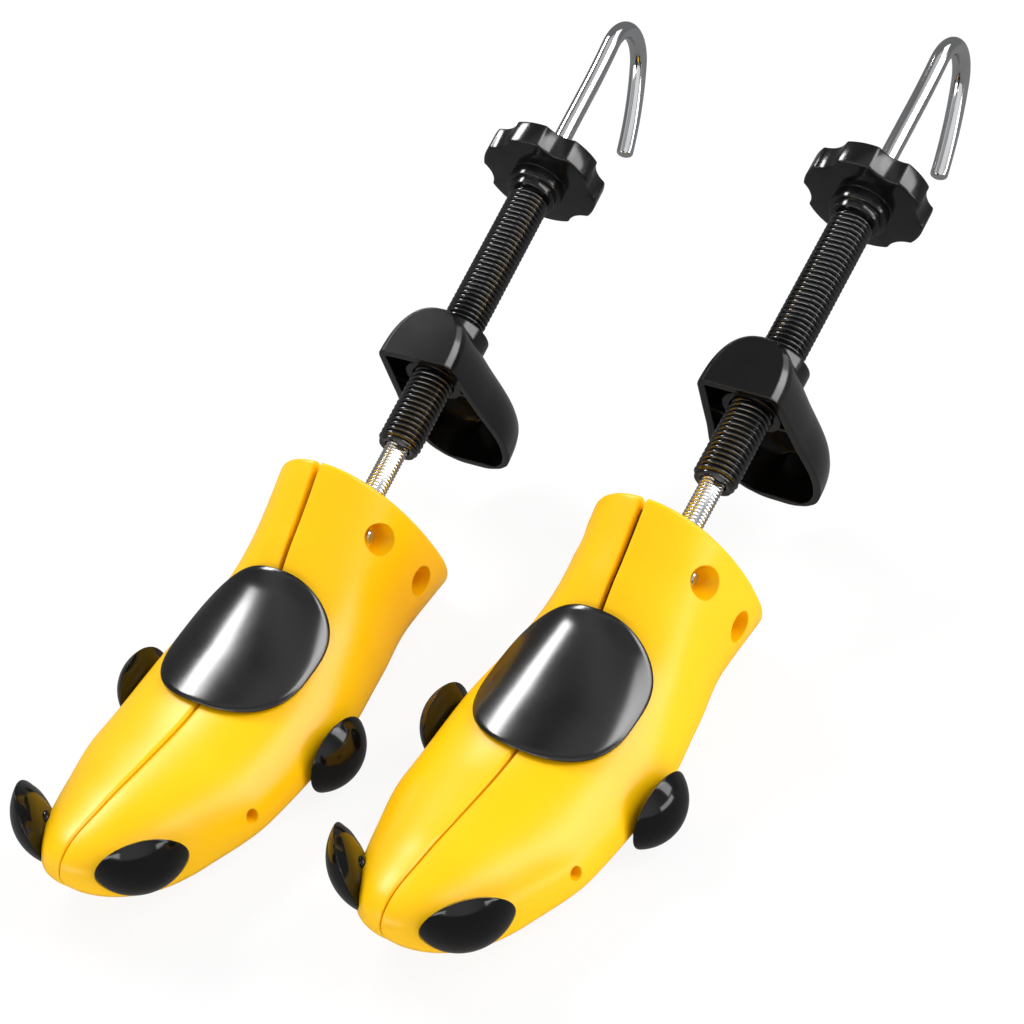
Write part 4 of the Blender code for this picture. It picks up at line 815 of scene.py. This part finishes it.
def metal(name, colours, roughness, grain_mm, grain_depth_mm, edge_mm, stretch=(1.0, 1.0, 1.0)):
    """Metal with a drawn or cast surface: its colour and roughness drift along the grain, which stretch lengthens."""
    made, tree, shader = new_material(name)
    where = add_node(tree, "ShaderNodeTexCoord").outputs["Object"]
    lined = add_node(tree, "ShaderNodeMapping", {"Scale": stretch}, {"Vector": where}).outputs["Vector"]
    grain = add_node(tree, "ShaderNodeTexNoise", {"Scale": 1000 / grain_mm, "Detail": 3.0}, {"Vector": lined})
    vary(tree, shader, grain.outputs["Fac"], colours, roughness)
    relief(tree, shader, grain.outputs["Fac"], METAL_RELIEF, grain_depth_mm, edge_mm)
    shader.inputs["Metallic"].default_value = 1.0
    return made


# Injection-moulded ABS in golden yellow: a clean satin gloss over an even, deep colour, with a little light inside
yellow_light = {"Subsurface Weight": 0.05, "Subsurface Radius": (0.004, 0.002, 0.0004), "Subsurface Scale": 1.0}
yellow_gloss = {"IOR": 1.53, "Specular IOR Level": 0.32, **yellow_light}
yellow_abs = moulded("golden_yellow_moulded_abs", ("FFC100", "FFC800"), (0.29, 0.35), yellow_gloss, 0.7, 0.0012, 0.5)
# Glass-filled nylon, black, moulded: deep black with a crisp sheen on its edges
nylon_gloss = {"IOR": 1.53, "Specular IOR Level": 0.5}
black_nylon = moulded("black_moulded_nylon", ("0A0A0B", "0E0E0F"), (0.12, 0.16), nylon_gloss, 0.7, 0.001, 0.8)
# The same nylon on the tube's thread, where the crests themselves are the shape: no edge rounding, no grain
thread_gloss = {"IOR": 1.53, "Specular IOR Level": 0.9}
black_thread = moulded("black_moulded_thread", ("0A0A0B", "0E0E0F"), (0.10, 0.14), thread_gloss)
# Polished black polypropylene of the plugs: smoother than the nylon, with sharp window-like highlights
plug_gloss = {"IOR": 1.5, "Specular IOR Level": 0.4}
black_plug = moulded("black_polished_polypropylene", ("09090A", "0D0D0E"), (0.09, 0.13), plug_gloss, 0.9, 0.001, 0.3)
# Soft black TPU of the instep pads: a broad, blurred highlight
pad_gloss = {"IOR": 1.5, "Specular IOR Level": 0.75}
black_tpu = moulded("black_soft_tpu_skin", ("09090A", "0D0D0E"), (0.16, 0.20), pad_gloss, 0.7, 0.002, 0.5)
# Nickel-chrome plated steel: mirror-bright, with faint drawing lines along the bar
chrome = metal("bright_plated_steel_bar", ("D4D5D7", "E2E3E5"), (0.05, 0.10), 1.2, 0.002, 0.15, (1.0, 0.08, 0.08))
# Turned and zinc-plated small steel parts: bright, with a fine grain
turned_steel = metal("turned_bright_steel", ("C4C5C8", "D2D3D6"), (0.16, 0.26), 0.5, 0.003, 0.2)
# Die-cast zinc left bare: dull grey, slightly pitted
cast_zinc = metal("bare_die_cast_zinc", ("8D8F92", "A2A4A7"), (0.38, 0.52), 0.8, 0.02, 0.4)


# ---- Build the pieces and set them in

half = forepart_half()
pad = instep_pad()
plugs = {"toe": plug(*TOE_PLUG[2:]), "ball": plug(*BALL_PLUG[2:])}
tube = length_tube()
wheel = hand_wheel()
rod = spreader_rod()
cup = heel_block()
pins = {which: pin(height, reach) for which, (height, reach, _) in GUIDE_PINS.items()}
wheel_rear = WHEEL_FRONT + WHEEL_THICKNESS
washer_front = wheel_rear - WASHER_THICKNESS + FIT_GAP
washer = ring_piece(WASHER_RADIUS, SHANK_RADIUS + FIT_GAP, washer_front, WASHER_THICKNESS)
clip_front = wheel_rear + 2 * FIT_GAP
clip = ring_piece(WASHER_RADIUS - CLIP_THICKNESS, SHANK_RADIUS + FIT_GAP, clip_front, CLIP_THICKNESS)

# Pieces of the CAD model whose shape is right, hidden between the halves, and their finishes
KEPT = {
    "nut_bracket": cast_zinc,
    "spreader_plate": cast_zinc,
    "square_nut": turned_steel,
    "neck_clip": turned_steel,
    "follower_pin_left": turned_steel,
    "follower_pin_right": turned_steel,
}

for tree in ("left", "right"):
    last = places[tree]
    screw = last @ to_screw
    for hand in ("left", "right"):
        body = f"half_{hand}_body"
        mirrored = hand == "left"
        flip = Matrix.Diagonal((-1 if mirrored else 1, 1, 1, 1))
        set_in(tree, f"forepart_half_{hand}", half, last, body, yellow_abs, mirrored)
        for where, (spot, way, _, _) in (("toe", TOE_PLUG), ("ball", BALL_PLUG)):
            stem = flip @ Vector(way).normalized()
            seat = last @ Matrix.Translation(flip @ Vector(spot) - PLUG_SINK * stem) @ turn_to(stem)
            set_in(tree, f"{where}_plug_{hand}", plugs[where], seat, body, black_plug, sharp_deg=50)
    set_in(tree, "instep_pad", pad, last, "pad_body", black_tpu, sharp_deg=50)
    set_in(tree, "heel_block", cup, screw, "block_body", black_nylon)
    set_in(tree, "length_tube", tube, screw, "tube_body", black_thread, sharp_deg=60)
    set_in(tree, "hand_wheel", wheel, screw, "tube_body", black_nylon, sharp_deg=40)
    set_in(tree, "wheel_washer", washer, screw, "tube_body", turned_steel)
    set_in(tree, "spreader_rod", rod, screw, "screw_body", chrome, sharp_deg=40)
    set_in(tree, "shank_clip", clip, screw, "screw_body", turned_steel)
    for which, made in pins.items():
        set_in(tree, f"guide_pin_{which}", made, screw, "frame", turned_steel)
    for node, finish in KEPT.items():
        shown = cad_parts[f"{tree}_{node}"]
        shown.data.materials.clear()
        shown.data.materials.append(finish)

for drawn in (half, pad, *plugs.values(), tube, wheel, rod, cup, *pins.values(), washer, clip):
    bpy.data.objects.remove(drawn, do_unlink=True)


# ---- Floor, light and camera

scene = bpy.context.scene
scene.view_settings.view_transform = "Standard"

floor_data = bpy.data.meshes.new("floor")
corners = [(x * FLOOR_HALF, y * FLOOR_HALF, 0) for x, y in ((-1, -1), (1, -1), (1, 1), (-1, 1))]
floor_data.from_pydata(corners, [], [(0, 1, 2, 3)])
floor = bpy.data.objects.new("floor", floor_data)
floor.location.z = -FLOOR_DROP
scene.collection.objects.link(floor)

# Pale matt paper: to the camera it is mostly its own white, with the object's shadow left in it, and a reflection
# shows it mostly as a dark grey, so that black pieces stay black underneath
paper, paper_tree, paper_shader = new_material("pale_floor_paper")
paper_shader.inputs["Base Color"].default_value = to_linear("F4F4F4")
paper_shader.inputs["Roughness"].default_value = 0.9
paper_shader.inputs["Specular IOR Level"].default_value = 0.0
path = add_node(paper_tree, "ShaderNodeLightPath")
times = {"operation": "MULTIPLY"}
seen = add_node(paper_tree, "ShaderNodeMath", times | {1: FLOOR_WHITE_SEEN}, {0: path.outputs["Is Camera Ray"]})
mirror = {0: path.outputs["Is Glossy Ray"]}
reflected = add_node(paper_tree, "ShaderNodeMath", times | {1: FLOOR_WHITE_MIRRORED}, mirror)
share = add_node(paper_tree, "ShaderNodeMath", {"operation": "MAXIMUM"}, {0: seen.outputs[0], 1: reflected.outputs[0]})
dimming = {"operation": "MULTIPLY_ADD", 1: -FLOOR_MIRRORED_DIMMING, 2: 1.0}
level = add_node(paper_tree, "ShaderNodeMath", dimming, mirror)
white = add_node(paper_tree, "ShaderNodeEmission", {"Color": (1, 1, 1, 1)}, {"Strength": level.outputs[0]})
sources = {0: share.outputs[0], 1: paper_shader.outputs[0], 2: white.outputs[0]}
both = add_node(paper_tree, "ShaderNodeMixShader", {}, sources)
paper_tree.links.new(both.outputs[0], paper_tree.nodes["Material Output"].inputs["Surface"])
floor_data.materials.append(paper)

# World: white to the camera, an even grey as light, and in reflections a soft sky with pale bands on dark, by how
# far a direction points to the front of the pair
world = bpy.data.worlds.new("studio")
scene.world = world
world.use_nodes = True
sky = world.node_tree
direction = add_node(sky, "ShaderNodeTexCoord").outputs["Generated"]
to_front = {"operation": "DOT_PRODUCT", 1: SKY_FRONT}
front = add_node(sky, "ShaderNodeVectorMath", to_front, {0: direction})
ramp = add_node(sky, "ShaderNodeValToRGB", {}, {0: front.outputs["Value"]})
ramp.color_ramp.interpolation = "B_SPLINE"
for spot, _ in SKY_BANDS[1:-1]:
    ramp.color_ramp.elements.new(spot)
for stop, (_, grey) in zip(ramp.color_ramp.elements, SKY_BANDS):
    stop.color = (grey, grey, grey, 1)
paths = add_node(sky, "ShaderNodeLightPath")
light = {"data_type": "RGBA", 6: (SKY_LIGHT, SKY_LIGHT, SKY_LIGHT, 1)}
even = add_node(sky, "ShaderNodeMix", light, {0: paths.outputs["Is Glossy Ray"], 7: ramp.outputs["Color"]})
backdrop = {"data_type": "RGBA", 7: (1, 1, 1, 1)}
whole = add_node(sky, "ShaderNodeMix", backdrop, {0: paths.outputs["Is Camera Ray"], 6: even.outputs[2]})
sky.links.new(whole.outputs[2], sky.nodes["Background"].inputs["Color"])

# Softboxes: name, place, width, height and power in watts; each is turned to the middle of the pair
SOFTBOXES = (
    ("key_right", (0.96, 0.42, 0.80), 0.50, 1.15, 10.0),
    ("bank_left", (-0.88, 0.15, 1.00), 0.70, 0.24, 12.0),
    ("low_front", (-0.25, -1.30, 0.20), 1.10, 0.22, 4.0),
    ("low_right", (1.35, 0.10, 0.14), 0.90, 0.20, 3.0),
    ("high_right", (0.62, 0.66, 1.02), 0.90, 0.60, 3.0),
)
for name, place, width, height, power in SOFTBOXES:
    lamp_data = bpy.data.lights.new(name, "AREA")
    lamp_data.shape = "RECTANGLE"
    lamp_data.size = width
    lamp_data.size_y = height
    lamp_data.energy = power
    lamp = bpy.data.objects.new(name, lamp_data)
    lamp.location = place
    lamp.rotation_euler = (Vector(LAMP_AIM) - Vector(place)).to_track_quat("-Z", "Y").to_euler()
    scene.collection.objects.link(lamp)

# Camera: the photo's view of the right tree, turned by some degrees so that the left one stays inside the frame
world_turn = CAMERA_TURN.to_matrix().transposed()
camera_data = bpy.data.cameras.new("camera")
camera_data.sensor_width = SENSOR_MM
camera_data.lens = LENS_MM
camera = bpy.data.objects.new("camera", camera_data)
camera.matrix_world = Matrix.LocRotScale(-(world_turn @ CAMERA_SHIFT), world_turn.to_quaternion(), None)
scene.collection.objects.link(camera)
scene.camera = camera
